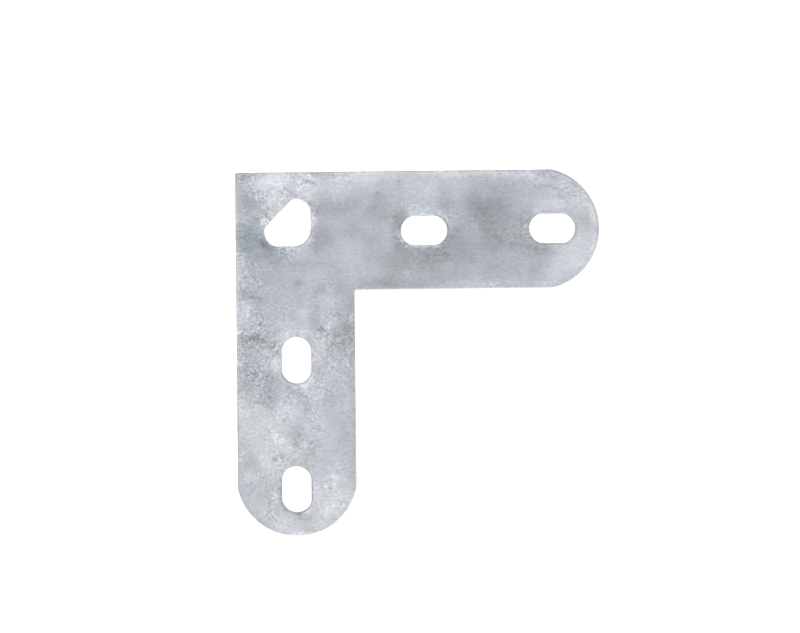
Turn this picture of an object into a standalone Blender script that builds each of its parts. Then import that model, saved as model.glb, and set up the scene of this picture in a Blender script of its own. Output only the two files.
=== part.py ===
"""Corner plate: a flat L-shaped steel plate with two arms of equal length.

Each arm has a round end and two slots, and a three-sided hole sits where the arms cross.
The plate is one piece of sheet, cut to its outline, punched, and dipped in zinc, which
rounds its edges. It is symmetric about the diagonal through its outer corner. It lies on
its back face, with the origin under the middle of its bounding box, one arm along +X and
the other along -Y.
"""

import math

import bpy

# Plate
THICKNESS = 0.0040
ARM_LENGTH = 0.1226  # from the outer edges to the tip of an arm
ARM_WIDTH = 0.0400
ARM_END_FLATTENING = 0.0005  # added to half the arm's width, for the radius of its end
INNER_CORNER_RADIUS = 0.0008
OUTER_CORNER_EASE = 0.0003  # radius left on the flat faces, inside the rounded edge
EDGE_ROUNDING = 0.0005

# Slots along the middle of each arm
SLOTS_PER_ARM = 2
SLOT_LENGTH = 0.0156
SLOT_WIDTH = 0.0100
SLOT_END_FLATTENING = 0.0001  # added to half the slot's width, for the radius of its ends
END_WALL = 0.0078  # between the tip of an arm and its last slot

# Hole in the corner: two short slots from the arms' crossing, joined by a slanted side
CORNER_HOLE_LENGTH = 0.0158
CORNER_HOLE_HEEL_RADIUS = 0.0058
CORNER_HOLE_SIDE_INSET = 0.0007  # of the slanted side, from the line that touches both ends

# Facets
CHORD_TOLERANCE = 0.000015
EDGE_ROUNDING_RESOLUTION = 2

# Zinc
ZINC_COLOUR = (0.52, 0.56, 0.59, 1.0)
ZINC_ROUGHNESS = 0.5
ZINC_METALLIC = 0.8

# Outlines are drawn as (along, down): along one arm and down the other, from the outer corner.
MIDDLE_LINE = ARM_WIDTH / 2
SLOT_END_RADIUS = SLOT_WIDTH / 2 + SLOT_END_FLATTENING
SLOT_END_HALF_ANGLE = math.asin(SLOT_WIDTH / 2 / SLOT_END_RADIUS)


def arc(centre, radius, start, end):
    """Points on an arc from one angle to another, with both of its ends."""
    step = 2 * math.acos(1 - CHORD_TOLERANCE / radius)
    count = math.ceil(abs(end - start) / step)
    angles = [start + (end - start) * index / count for index in range(count + 1)]
    return [
        (centre[0] + radius * math.cos(angle), centre[1] + radius * math.sin(angle))
        for angle in angles
    ]


def mirrored(points):
    """The same points for the other arm, in the order that carries an outline on."""
    return [(down, along) for along, down in reversed(points)]


def plate_outline():
    """The outer corner, the end of one arm, the inner corner and the end of the other arm."""
    corner_radius = OUTER_CORNER_EASE + EDGE_ROUNDING
    outer_corner = arc((corner_radius, corner_radius), corner_radius, math.pi, 1.5 * math.pi)
    end_radius = ARM_WIDTH / 2 + ARM_END_FLATTENING
    half_angle = math.asin(ARM_WIDTH / 2 / end_radius)
    arm_end = arc((ARM_LENGTH - end_radius, MIDDLE_LINE), end_radius, -half_angle, half_angle)
    inner = ARM_WIDTH + INNER_CORNER_RADIUS
    inner_corner = arc((inner, inner), INNER_CORNER_RADIUS, 1.5 * math.pi, math.pi)
    return outer_corner + arm_end + inner_corner + mirrored(arm_end)


def slot_outline(middle):
    """A slot along an arm, with its middle at this distance from the outer edge."""
    reach = SLOT_LENGTH / 2 - SLOT_END_RADIUS
    far_end = arc(
        (middle + reach, MIDDLE_LINE), SLOT_END_RADIUS, -SLOT_END_HALF_ANGLE, SLOT_END_HALF_ANGLE
    )
    near_end = [(2 * middle - along, 2 * MIDDLE_LINE - down) for along, down in far_end]
    return far_end + near_end


def slot_outlines():
    """Every slot of both arms, evenly spaced from the arms' crossing to the last slot."""
    last = ARM_LENGTH - END_WALL - SLOT_LENGTH / 2
    pitch = (last - MIDDLE_LINE) / SLOTS_PER_ARM
    outlines = []
    for index in range(1, SLOTS_PER_ARM + 1):
        outline = slot_outline(MIDDLE_LINE + index * pitch)
        outlines += [outline, mirrored(outline)]
    return outlines


def corner_hole_outline():
    """A round end towards each outer edge, with the slanted side between, and the heel."""
    heel_side = MIDDLE_LINE + SLOT_WIDTH / 2
    end_middle = heel_side - CORNER_HOLE_LENGTH + SLOT_END_RADIUS
    start = math.pi - SLOT_END_HALF_ANGLE
    end = 1.25 * math.pi - math.acos(1 - CORNER_HOLE_SIDE_INSET / SLOT_END_RADIUS)
    round_end = arc((end_middle, MIDDLE_LINE), SLOT_END_RADIUS, start, end)
    heel_middle = heel_side - CORNER_HOLE_HEEL_RADIUS
    heel = arc((heel_middle, heel_middle), CORNER_HOLE_HEEL_RADIUS, 0, 0.5 * math.pi)
    return round_end + mirrored(round_end) + heel


def zinc_material():
    """Dull grey zinc, as dipping leaves it."""
    material = bpy.data.materials.new("galvanised_zinc")
    material.use_nodes = True
    shader = material.node_tree.nodes["Principled BSDF"]
    shader.inputs["Base Color"].default_value = ZINC_COLOUR
    shader.inputs["Roughness"].default_value = ZINC_ROUGHNESS
    shader.inputs["Metallic"].default_value = ZINC_METALLIC
    return material


def add_outline(curve, outline):
    """Adds a closed outline to the curve, with the bounding box's middle at its origin."""
    spline = curve.splines.new("POLY")
    spline.points.add(len(outline) - 1)
    for point, (along, down) in zip(spline.points, outline):
        point.co = (along - ARM_LENGTH / 2, ARM_LENGTH / 2 - down, 0, 1)
    spline.use_cyclic_u = True


def plate_curve():
    """The sheet as a filled flat curve: the outline, and inside it the holes.

    The straight walls and the two rounded edges together make the thickness, and the
    offset sets the rounding into the sheet, so that the walls stay on the outlines.
    """
    curve = bpy.data.curves.new("corner_plate", "CURVE")
    curve.dimensions = "2D"
    curve.fill_mode = "BOTH"
    for outline in [plate_outline(), corner_hole_outline(), *slot_outlines()]:
        add_outline(curve, outline)
    curve.extrude = THICKNESS / 2 - EDGE_ROUNDING
    curve.bevel_depth = EDGE_ROUNDING
    curve.bevel_resolution = EDGE_ROUNDING_RESOLUTION
    curve.offset = -EDGE_ROUNDING
    return curve


def main():
    for leftover in list(bpy.data.objects):
        bpy.data.objects.remove(leftover)
    collection = bpy.data.collections.new("corner_plate")
    bpy.context.scene.collection.children.link(collection)

    plate = bpy.data.objects.new("corner_plate", plate_curve())
    plate.data.materials.append(zinc_material())
    plate.location.z = THICKNESS / 2
    collection.objects.link(plate)


if __name__ == "__main__":
    main()
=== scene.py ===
"""Corner plate in hot-dip galvanised steel: the plate with its zinc coat, on a pale floor in soft light.

The plate lies on its back. Places on it are given in millimetres as the plate maker marks them out:
along, from its outer edge towards the tip of the arm on the right, and down, from its other outer edge
towards the tip of the lower arm. Turns are in degrees from along towards down.
"""

import logging
import math
from dataclasses import dataclass, field
from enum import Enum
from typing import ClassVar, TypeVar

import bpy
import numpy as np
from mathutils import Euler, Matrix, Vector, kdtree, noise
from mathutils.geometry import delaunay_2d_cdt

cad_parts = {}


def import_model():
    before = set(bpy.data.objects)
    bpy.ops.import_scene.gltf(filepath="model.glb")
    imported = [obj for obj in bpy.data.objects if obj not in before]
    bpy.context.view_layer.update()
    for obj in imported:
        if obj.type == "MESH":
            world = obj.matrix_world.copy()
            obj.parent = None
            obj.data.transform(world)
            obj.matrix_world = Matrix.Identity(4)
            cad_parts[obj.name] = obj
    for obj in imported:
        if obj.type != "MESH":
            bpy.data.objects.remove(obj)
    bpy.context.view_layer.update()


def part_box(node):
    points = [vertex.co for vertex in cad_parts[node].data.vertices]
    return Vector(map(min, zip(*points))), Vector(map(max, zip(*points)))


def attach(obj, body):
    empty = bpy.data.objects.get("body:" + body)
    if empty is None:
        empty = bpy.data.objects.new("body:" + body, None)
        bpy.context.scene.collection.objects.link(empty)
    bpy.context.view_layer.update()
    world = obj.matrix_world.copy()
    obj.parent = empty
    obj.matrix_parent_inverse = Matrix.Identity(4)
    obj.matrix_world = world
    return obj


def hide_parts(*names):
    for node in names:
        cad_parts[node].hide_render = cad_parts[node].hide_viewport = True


LOG = logging.getLogger("corner_plate")
MM = 0.001
TRIANGLE_HEIGHT = math.sqrt(0.75)
NOISE_SEED = 17.3
NOISE_SIDESTEP = 2.7
NOISE_FADE = 0.6
NOISE_NARROWING = 2.1

Place = tuple[float, float]
Range = tuple[float, float]
Loop = np.ndarray
Colour = tuple[float, float, float]
Socket = bpy.types.NodeSocket
Inputs = dict[str | int, Socket | float | tuple]
Kind = TypeVar("Kind")


class Side(Enum):
    """The two flat faces of the plate."""

    FRONT = "front"
    BACK = "back"


class Tint(Enum):
    """The faint colours that zinc takes on: the shares of red, green and blue that each adds."""

    NONE = (0.0, 0.0, 0.0)
    BLUE = (-0.022, 0.0, 0.026)
    MAUVE = (0.010, -0.014, 0.004)
    SAGE = (0.013, 0.010, -0.015)
    WARM = (0.020, 0.0, -0.024)
    RUST = (0.045, -0.004, -0.05)


# --------------------------------------------------------------------------------------------------
# Outlines
# --------------------------------------------------------------------------------------------------


def arc(centre: Place, radius: float, start: float, end: float, step: float) -> list[Place]:
    """Points along an arc, both ends included.

    Args:
        centre: Middle of the arc, along and down.
        radius: Radius in millimetres.
        start: First angle in radians.
        end: Last angle in radians.
        step: Longest distance between two points.

    Returns:
        The points as pairs of along and down.
    """
    count = math.ceil(abs(end - start) * radius / step)
    angles = [start + (end - start) * i / count for i in range(count + 1)]
    return [(centre[0] + radius * math.cos(a), centre[1] + radius * math.sin(a)) for a in angles]


def mirrored(points: list[Place]) -> list[Place]:
    """The same points on the other arm, in the order that continues the outline."""
    return [(down, along) for along, down in reversed(points)]


def stepped(points: list[Place], step: float) -> Loop:
    """Walks round a closed outline in even steps.

    Args:
        points: Corners of the outline.
        step: Wanted distance between two points.

    Returns:
        An array of points, one row each.
    """
    corners = np.array(points + points[:1], float)
    lengths = np.hypot(*np.diff(corners, axis=0).T)
    distance = np.concatenate([[0], np.cumsum(lengths)])
    places = np.linspace(0, distance[-1], round(distance[-1] / step), endpoint=False)
    return np.stack([np.interp(places, distance, corners[:, k]) for k in (0, 1)], axis=1)


def turns_right(loop: Loop) -> bool:
    """Whether the outline's points turn from along towards down."""
    following = np.roll(loop, -1, axis=0)
    return bool(np.sum(loop[:, 0] * following[:, 1] - following[:, 0] * loop[:, 1]) > 0)


def out_of_metal(loop: Loop, is_hole: bool) -> Loop:
    """Unit directions that point out of the metal at each point of an outline.

    Args:
        loop: The outline's points.
        is_hole: Whether the outline is that of a hole.

    Returns:
        One direction for each point.
    """
    run = np.roll(loop, -1, axis=0) - np.roll(loop, 1, axis=0)
    run /= np.hypot(run[:, :1], run[:, 1:])
    direction = np.stack([run[:, 1], -run[:, 0]], axis=1)
    return direction if turns_right(loop) != is_hole else -direction


@dataclass(frozen=True)
class PlateSizes:
    """The plate's sizes in millimetres.

    Attributes:
        thickness: Thickness of the steel.
        arm_length: Length of an arm over its outer edge.
        arm_width: Width of an arm.
        arm_end_flattening: How far the radius of an arm's round end exceeds half its width.
        inner_corner_radius: Radius in the nook between the arms.
        outer_corner_radius: Radius of the outer corner.
        edge_rounding: Radius of every rounded edge.
        slots_per_arm: Slots in each arm.
        slot_length: Length of a slot.
        slot_width: Width of a slot.
        slot_end_flattening: How far the radius of a slot's round end exceeds half its width.
        slot_drifts: How far the punch put each slot off its even place, along and down.
        end_wall: Steel between the last slot and the tip of the arm.
        corner_hole_length: Length of the corner hole from its heel's side.
        corner_hole_heel_radius: Radius of its rounded heel.
        corner_hole_side_inset: How far its slanting side stands back from its round ends.
        corner_hole_drift: How far the punch put it off its place, along the plate.
        corner_hole_extra: How much longer it is down the plate than along it.
        edge_step: Distance between two points of an outline.
    """

    thickness: float = 4.0
    arm_length: float = 122.6
    arm_width: float = 40.0
    arm_end_flattening: float = 0.5
    inner_corner_radius: float = 0.8
    outer_corner_radius: float = 0.8
    edge_rounding: float = 0.35
    slots_per_arm: int = 2
    slot_length: float = 15.6
    slot_width: float = 10.0
    slot_end_flattening: float = 0.1
    slot_drifts: tuple[Place, ...] = ((0.15, 0.1), (-0.1, -0.13), (0.1, 0.0), (-0.23, 0.0))
    end_wall: float = 7.8
    corner_hole_length: float = 15.8
    corner_hole_heel_radius: float = 5.8
    corner_hole_side_inset: float = 0.58
    corner_hole_drift: float = 0.35
    corner_hole_extra: float = 0.25
    edge_step: float = 0.4

    @property
    def middle_line(self) -> float:
        """Distance of an arm's middle line from its outer edge."""
        return self.arm_width / 2

    @property
    def slot_end_radius(self) -> float:
        """Radius of a slot's round end."""
        return self.slot_width / 2 + self.slot_end_flattening

    @property
    def slot_half_angle(self) -> float:
        """Half the angle that a slot's round end turns through."""
        return math.asin(self.slot_width / 2 / self.slot_end_radius)

    def plate(self) -> Loop:
        """Draws the outline of the plate.

        Returns:
            The outline's points.
        """
        fine_step = self.edge_step / 2
        corner = self.outer_corner_radius
        outer = arc((corner, corner), corner, math.pi, 1.5 * math.pi, fine_step)
        radius = self.middle_line + self.arm_end_flattening
        half = math.asin(self.middle_line / radius)
        tip = arc((self.arm_length - radius, self.middle_line), radius, -half, half, self.edge_step)
        nook = self.arm_width + self.inner_corner_radius
        inner = arc((nook, nook), self.inner_corner_radius, 1.5 * math.pi, math.pi, fine_step)
        return stepped(outer + tip + inner + mirrored(tip), self.edge_step)

    def slot(self, middle: float) -> Loop:
        """Draws the outline of a slot in the arm on the right.

        Args:
            middle: Distance of the slot's middle from the outer edge.

        Returns:
            The outline's points.
        """
        half = self.slot_half_angle
        reach = self.slot_length / 2 - self.slot_end_radius
        centre = (middle + reach, self.middle_line)
        far = arc(centre, self.slot_end_radius, -half, half, self.edge_step)
        near = [(2 * middle - along, 2 * self.middle_line - down) for along, down in far]
        return stepped(far + near, self.edge_step)

    def slots(self) -> list[Loop]:
        """Draws the outlines of the slots in both arms.

        Returns:
            The outlines: the slots of the arm on the right, then those of the lower arm.
        """
        last = self.arm_length - self.end_wall - self.slot_length / 2
        pitch = (last - self.middle_line) / self.slots_per_arm
        right = [self.slot(self.middle_line + pitch * (n + 1)) for n in range(self.slots_per_arm)]
        lower = [loop[::-1, ::-1] for loop in right]
        return [loop + np.array(drift) for loop, drift in zip(right + lower, self.slot_drifts)]

    def corner_hole(self) -> Loop:
        """Draws the outline of the hole in the corner: a slot bent round, with one slanting side.

        Returns:
            The outline's points.
        """
        heel_side = self.middle_line + self.slot_width / 2
        end_middle = heel_side - self.corner_hole_length + self.slot_end_radius
        start = math.pi - self.slot_half_angle
        square_to_side = 1.25 * math.pi
        end = square_to_side - math.acos(1 - self.corner_hole_side_inset / self.slot_end_radius)
        centre = (end_middle, self.middle_line)
        round_end = arc(centre, self.slot_end_radius, start, end, self.edge_step)
        heel_middle = heel_side - self.corner_hole_heel_radius
        centre = (heel_middle, heel_middle)
        heel = arc(centre, self.corner_hole_heel_radius, 0, math.pi / 2, self.edge_step)
        loop = stepped(round_end + mirrored(round_end) + heel, self.edge_step)
        loop[:, 0] += self.corner_hole_drift
        loop[:, 1] -= self.corner_hole_extra * (heel_side - loop[:, 1]) / self.corner_hole_length
        return loop


# --------------------------------------------------------------------------------------------------
# Marks in the zinc
# --------------------------------------------------------------------------------------------------


@dataclass(frozen=True)
class Mark:
    """A mark of oval shape that fades outwards.

    Attributes:
        along: Middle, along the plate.
        down: Middle, down the plate.
        length: Length of the mark.
        width: Width of the mark.
        strength: How strong it is.
        turn: How far its length is turned.
        sharpness: How fast all marks of its kind fade at their rims.
    """

    along: float
    down: float
    length: float
    width: float
    strength: float
    turn: float = 0.0
    sharpness: ClassVar[float]

    def share_at(self, places: np.ndarray) -> np.ndarray:
        """How much of the mark each point has.

        Args:
            places: The points.

        Returns:
            A share for each point, from 0 to 1.
        """
        turn = math.radians(self.turn)
        along = places[:, 0] - self.along
        down = places[:, 1] - self.down
        lengthwise = (along * math.cos(turn) + down * math.sin(turn)) / (self.length / 2)
        across = (down * math.cos(turn) - along * math.sin(turn)) / (self.width / 2)
        return np.exp(-((lengthwise**2 + across**2) ** self.sharpness))


class Cloud(Mark):
    """A lighter or darker place in the zinc. Its strength is the change of brightness in per cent."""

    sharpness = 1.2


class Stroke(Mark):
    """A short mark where the coat was wiped or ran. Its strength is a cloud's."""

    sharpness = 1.0


class Stain(Mark):
    """A place where the zinc has a faint colour, with a strength of 1 where that is plainly there."""

    sharpness = 2.0


@dataclass(frozen=True)
class Rim:
    """The edge of a hole or one side of the plate, as it lies round a middle.

    Attributes:
        along: Middle, along the plate.
        down: Middle, down the plate.
        near: Least distance of the edge from the middle.
        far: Greatest distance of the edge from the middle.
    """

    along: float
    down: float
    near: float = 4.0
    far: float = 11.6


@dataclass(frozen=True)
class RimShadingLine:
    """A thin line along part of a rim: painted shade where its tone is below 0 and painted highlight
    where it is above, standing in for the dark and light lines of the rounded edges and walls, with the
    edge's own tint.

    Attributes:
        rim: The rim.
        start: Turn where the line starts.
        end: Turn where it ends.
        tone: Change of brightness in per cent; below 0 it is painted shade, above 0 painted highlight.
        tint: The line's colour.
        width: Width of the line.
        depth: How far in from the edge the line lies.
        fade: Degrees over which the ends of every line fade out.
    """

    rim: Rim
    start: float
    end: float
    tone: float
    tint: Tint = Tint.NONE
    width: float = 0.5
    depth: float = 0.0
    fade: ClassVar[float] = 8.0

    def share_at(self, places: np.ndarray, edge_distance: np.ndarray) -> np.ndarray:
        """How much of the line each point has.

        Args:
            places: The points.
            edge_distance: Distance of each point from the nearest edge.

        Returns:
            A share for each point, from 0 to 1.
        """
        along = places[:, 0] - self.rim.along
        down = places[:, 1] - self.rim.down
        radius = np.hypot(along, down)
        middle = (self.start + self.end) / 2
        off_middle = np.abs((np.degrees(np.arctan2(down, along)) - middle + 180) % 360 - 180)
        window = np.clip(((self.end - self.start) / 2 - off_middle) / self.fade + 0.5, 0, 1)
        on_rim = (radius > self.rim.near) & (radius < self.rim.far)
        return on_rim * window * np.exp(-(((edge_distance - self.depth) / self.width) ** 2))


@dataclass(frozen=True)
class Patch:
    """A round patch where the coat is rough, or where its grain slants.

    Attributes:
        along: Middle, along the plate.
        down: Middle, down the plate.
        size: Diameter of the patch.
        share: How strong it is there, from 0 to 1.
        sharpness: How fast every patch fades at its rim.
    """

    along: float
    down: float
    size: float
    share: float
    sharpness: ClassVar[int] = 3

    def share_at(self, places: np.ndarray) -> np.ndarray:
        """How much of the patch each point has.

        Args:
            places: The points.

        Returns:
            A share for each point, from 0 to the patch's own.
        """
        distance = np.hypot(places[:, 0] - self.along, places[:, 1] - self.down)
        return self.share * np.exp(-((2 * distance / self.size) ** self.sharpness))


def placed(kind: type[Kind], *rows: tuple) -> tuple[Kind, ...]:
    """Marks, patches or lines of one kind, from rows of their values."""
    return tuple(kind(*row) for row in rows)


CORNER_HOLE = Rim(17.5, 17.5)
NEAR_SLOT = Rim(63.3, 20)
FAR_SLOT = Rim(106.6, 20)
NEAR_LOWER_SLOT = Rim(20, 63.3)
FAR_LOWER_SLOT = Rim(20, 106.8)
RIGHT_TIP = Rim(102.1, 20, 19, 22)
LOWER_TIP = Rim(20, 102.1, 19, 22)
UPPER_SIDE = Rim(53, 60, 59, 85)
LEFT_SIDE = Rim(60, 60, 59, 90)
INNER_SIDE = Rim(-40, 71, 78, 88)

CORNER_CLOUDS = placed(
    Cloud,
    (15, 2.5, 13, 7, 34), (24, 5, 7, 8, 24), (9, 4, 9, 6, 22), (3.5, 1.2, 5, 3, -14),
    (4.5, 10, 5, 9, -24), (13, 9, 9, 5, 26, -40), (3.5, 15.5, 5, 4, 6), (10, 24.5, 10, 7, -38, 20),
    (4, 23, 9, 10, -30), (2, 29, 5, 5, 14), (20.5, 27.5, 8, 4, 12), (29, 22.5, 7, 9, -26),
    (31, 12.5, 13, 7, -14), (8, 29, 16, 5, -14), (22, 31.5, 14, 4, -8), (12, 36, 12, 5, -12),
    (21.5, 37.5, 4, 4, -18), (37, 3.5, 14, 8, 18), (27, 35, 6, 6, 3), (34, 36, 5, 12, -10),
    (6.7, 8, 3, 4, 16), (4.5, 18.5, 7, 4, -15), (14.5, 12, 14, 3.5, 16, -45), (24.5, 8.8, 5, 3, 12),
    (12, 4.7, 4, 3, -10), (28, 4.5, 7, 4, 10), (36, 2, 6, 4, 6), (33, 21, 7, 8, -6),
    (28.5, 40, 4, 4, -16), (26, 27, 5, 6, -7), (31, 31, 6, 4, -7), (20, 28.5, 5, 3, -8),
    (8, 34.5, 6, 3, -7), (37, 39, 4, 5, -9), (20, 39, 5, 3, -6), (1, 35, 3, 6, 8), (7, 24, 3, 5, 8),
    (23, 0.5, 4, 2.5, 14), (20, 2, 3, 3, -8), (6, 2, 3, 4, -8), (26, 4.2, 3, 2.5, -12),
    (5.5, 17.5, 3, 5, -11), (9, 16.5, 2.5, 4, 10), (11, 13.5, 5, 3, -6), (34.5, 7.5, 7, 8, 7),
    (27, 17, 2, 4, 9), (13, 31, 5, 4, -9), (0.8, 29, 2, 5, 10), (5, 30, 4, 3, -7), (26, 25, 5, 3, -7),
    (39, 20, 5, 7, -8), (26, 44, 40, 18, -3), (9, 22.8, 3, 2.5, 8), (16, 2, 3, 3, 6),
    (25.5, 10.4, 2.5, 3, 7), (5, 30, 4, 4, 4), (39.4, 40, 2, 3, 7), (0.8, 26.5, 2, 2.5, -7),
    (10, 0.6, 4, 2, -7), (24.6, 4, 3, 2, -6), (10.5, 12.6, 4, 2.6, -7), (4, 24, 5, 3, 4),
    (1, 27, 2, 2, -5), (25.6, 39, 4, 6, 4), (9.7, 23.6, 3, 2.6, 5), (12.5, 31, 5, 4, -3),
    (31, 19.5, 6, 6, 3), (15, 31.5, 8, 4, -3), (9, 3, 6, 5, -3), (15, 33, 6, 5, -3), (8, 26.5, 4, 3, 4),
    (14.5, 27, 5, 2.5, 3), (9, 27, 4.5, 3, 4), (15, 26.5, 4.5, 3, 3), (39, 6, 4.5, 7, -2.5),
    (36, 21, 12, 4, -2), (24, 32, 12, 4, -2),
)
RIGHT_ARM_CLOUDS = placed(
    Cloud,
    (37, 12.5, 8, 5, -14), (48, 12.5, 7, 10, -18), (45, 1.5, 14, 4, 22), (41, 19, 6, 5, -8),
    (64, 4, 26, 8, 14), (65, 8, 12, 6, 9), (61, 13.5, 12, 4, 14), (55.5, 16.5, 5, 7, -32),
    (55.5, 25.5, 5, 6, -26), (64, 28.5, 24, 7, -28), (70, 28, 7, 5, -20), (71.5, 12, 6, 5, -14),
    (74, 23, 10, 8, -22), (78, 27, 12, 8, -14), (84, 13, 14, 9, -40), (86, 20.5, 9, 16, -30, -10),
    (87, 7, 16, 6, -14), (79, 9, 6, 5, -12), (94, 17, 13, 16, -18), (95, 26, 14, 8, -22),
    (103, 28, 12, 5, -26), (38, 27.5, 10, 10, 5), (47, 23, 5, 8, -6), (54, 33, 10, 12, -20),
    (50, 38, 14, 4, -20), (66, 33, 14, 9, -20), (88, 33, 18, 8, -14), (101, 34, 7, 9, -18),
    (104.5, 2, 6, 5, -6), (99, 1.5, 8, 4, 20), (88, 1, 20, 2.4, 22), (71, 1, 16, 2.4, 22),
    (106, 11.5, 14, 5, 14), (111, 5, 8, 6, 12), (118, 11, 7, 9, 14), (120, 17, 4, 7, 14),
    (117, 19, 7, 7, -4), (118, 27, 8, 13, 18), (111, 32, 16, 10, 20), (85, 38.6, 20, 2.4, 14),
    (47, 6.3, 4, 5, 10), (55, 5, 5, 5, -10), (70.5, 7, 4, 6, -10), (41, 10.5, 5, 3, -7),
    (51, 15, 4, 4, -9), (54, 21, 3, 7, -14), (44.5, 23, 4, 5, -9), (46.5, 29.5, 6, 5, -8),
    (71, 15, 5, 4, 9), (73, 28, 4, 5, 9), (69, 31.5, 8, 3, 9), (61, 31, 4, 6, 9), (78, 18, 5, 6, -10),
    (75, 35, 6, 5, -10), (70, 37, 8, 3, -9), (82, 24, 5, 6, -8), (79, 30, 5, 5, -8),
    (84.5, 9, 5, 5, 14), (87, 15.5, 5, 4, 13), (95, 13.5, 8, 3, 6), (92, 2.8, 4, 3, 9),
    (95, 0.4, 7, 1.8, -20), (90.5, 12, 5, 3, -7), (101.5, 14, 5, 2.5, 15), (108, 11.5, 6, 4, 7),
    (114, 9.7, 4, 3, 10), (119, 12, 3, 5, -9), (97, 28, 8, 4, 12), (111, 27, 10, 3, 11),
    (115.5, 24, 3, 3, 9), (106, 31.5, 8, 3, -8), (103.5, 38.7, 8, 2, 13), (98, 33.5, 3, 6, 8),
    (121.5, 26, 3, 6, 14), (60, 20, 44, 40, -3), (45, 14, 6, 5, -7), (53.5, 24, 5, 4, -8),
    (57, 13.5, 5, 2.5, -9), (43.5, 29, 4, 5, -5), (45, 37, 8, 4, -6), (60.5, 38, 7, 3, -11),
    (53.5, 1, 5, 3, 9), (64.5, 13.7, 5, 1.5, 9), (69.5, 9, 6, 10, -5), (74.5, 20, 4, 4, -10),
    (72, 24, 2.5, 3, -12), (55.5, 29, 4, 5, 12), (57, 34.5, 4, 4, 10), (70, 29, 7, 5, 11),
    (84.5, 26, 5, 7, -6), (85, 12.5, 5, 8, 9), (77, 9.5, 6, 5, 5), (87.5, 2.3, 3, 3, -8),
    (92.5, 0.3, 9, 1.6, -12), (97, 17, 2.5, 3, -11), (104, 3.7, 6, 2.5, 14), (107, 8, 4, 3, 6),
    (119, 17.5, 3, 4, -12), (121.8, 17, 2, 4, 15), (121.5, 23, 2, 3, 9), (117, 28, 5, 5, -8),
    (120.5, 29, 2.5, 5, 10), (100.5, 28.5, 4, 6, 11), (91.5, 29, 4, 3, 8), (96, 34.5, 3, 4, -10),
    (105.5, 37.5, 8, 4, 8), (88.5, 38, 3, 3, -7), (40.2, 0.4, 5, 1.8, -12), (75, 0.4, 5, 2, -8),
    (93, 20, 3.5, 3, -6), (71, 25.4, 3.5, 3, 6), (96.5, 38.8, 4, 2, 6), (75, 30, 4, 3.5, -5),
    (61.5, 26.8, 4, 2.4, -5), (46, 24, 5, 4, -3), (121.2, 17.5, 2.4, 5, -6), (63, 32.5, 6, 4, 3),
    (62, 11, 9, 3, 4), (99.3, 16, 2.2, 2.5, 9), (94, 0.4, 6, 2, -6), (83, 24, 5, 3, 4),
    (117, 31, 5, 5, 4), (57, 36.5, 4, 2.6, 4), (51, 9, 6, 5, -2.5), (63, 13, 8, 2.5, 3),
    (105, 26.8, 5, 2.5, 3), (121.4, 14, 2, 5, -4), (51, 38.6, 6, 4, -4), (44.5, 38.6, 5, 3, -3),
    (81, 2, 6, 4, -2.5), (105, 38.4, 6, 3, -3), (75, 32.5, 6, 5, -2.5), (105, 32.5, 6, 5, -2.5),
    (92, 20.5, 6, 5, -2), (78, 9.3, 8, 3, 2.5), (75.5, 15, 4, 4, -3.5), (90, 39, 8, 3, -3.5),
    (63, 38.5, 4, 3, -3), (51, 38.5, 5, 3, -2.5), (105, 26, 4, 3, 2.5), (105, 13.5, 4, 3, 2.5),
    (121.6, 21, 2.5, 4, 3.5), (83.5, 13.5, 3, 3, 4), (80, 11.5, 3, 2.5, -3), (87.5, 24.3, 2.5, 2, 4),
    (84, 20.5, 3.5, 2.5, -2.5), (91, 12.5, 3, 2.5, -2.5),
)
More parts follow.
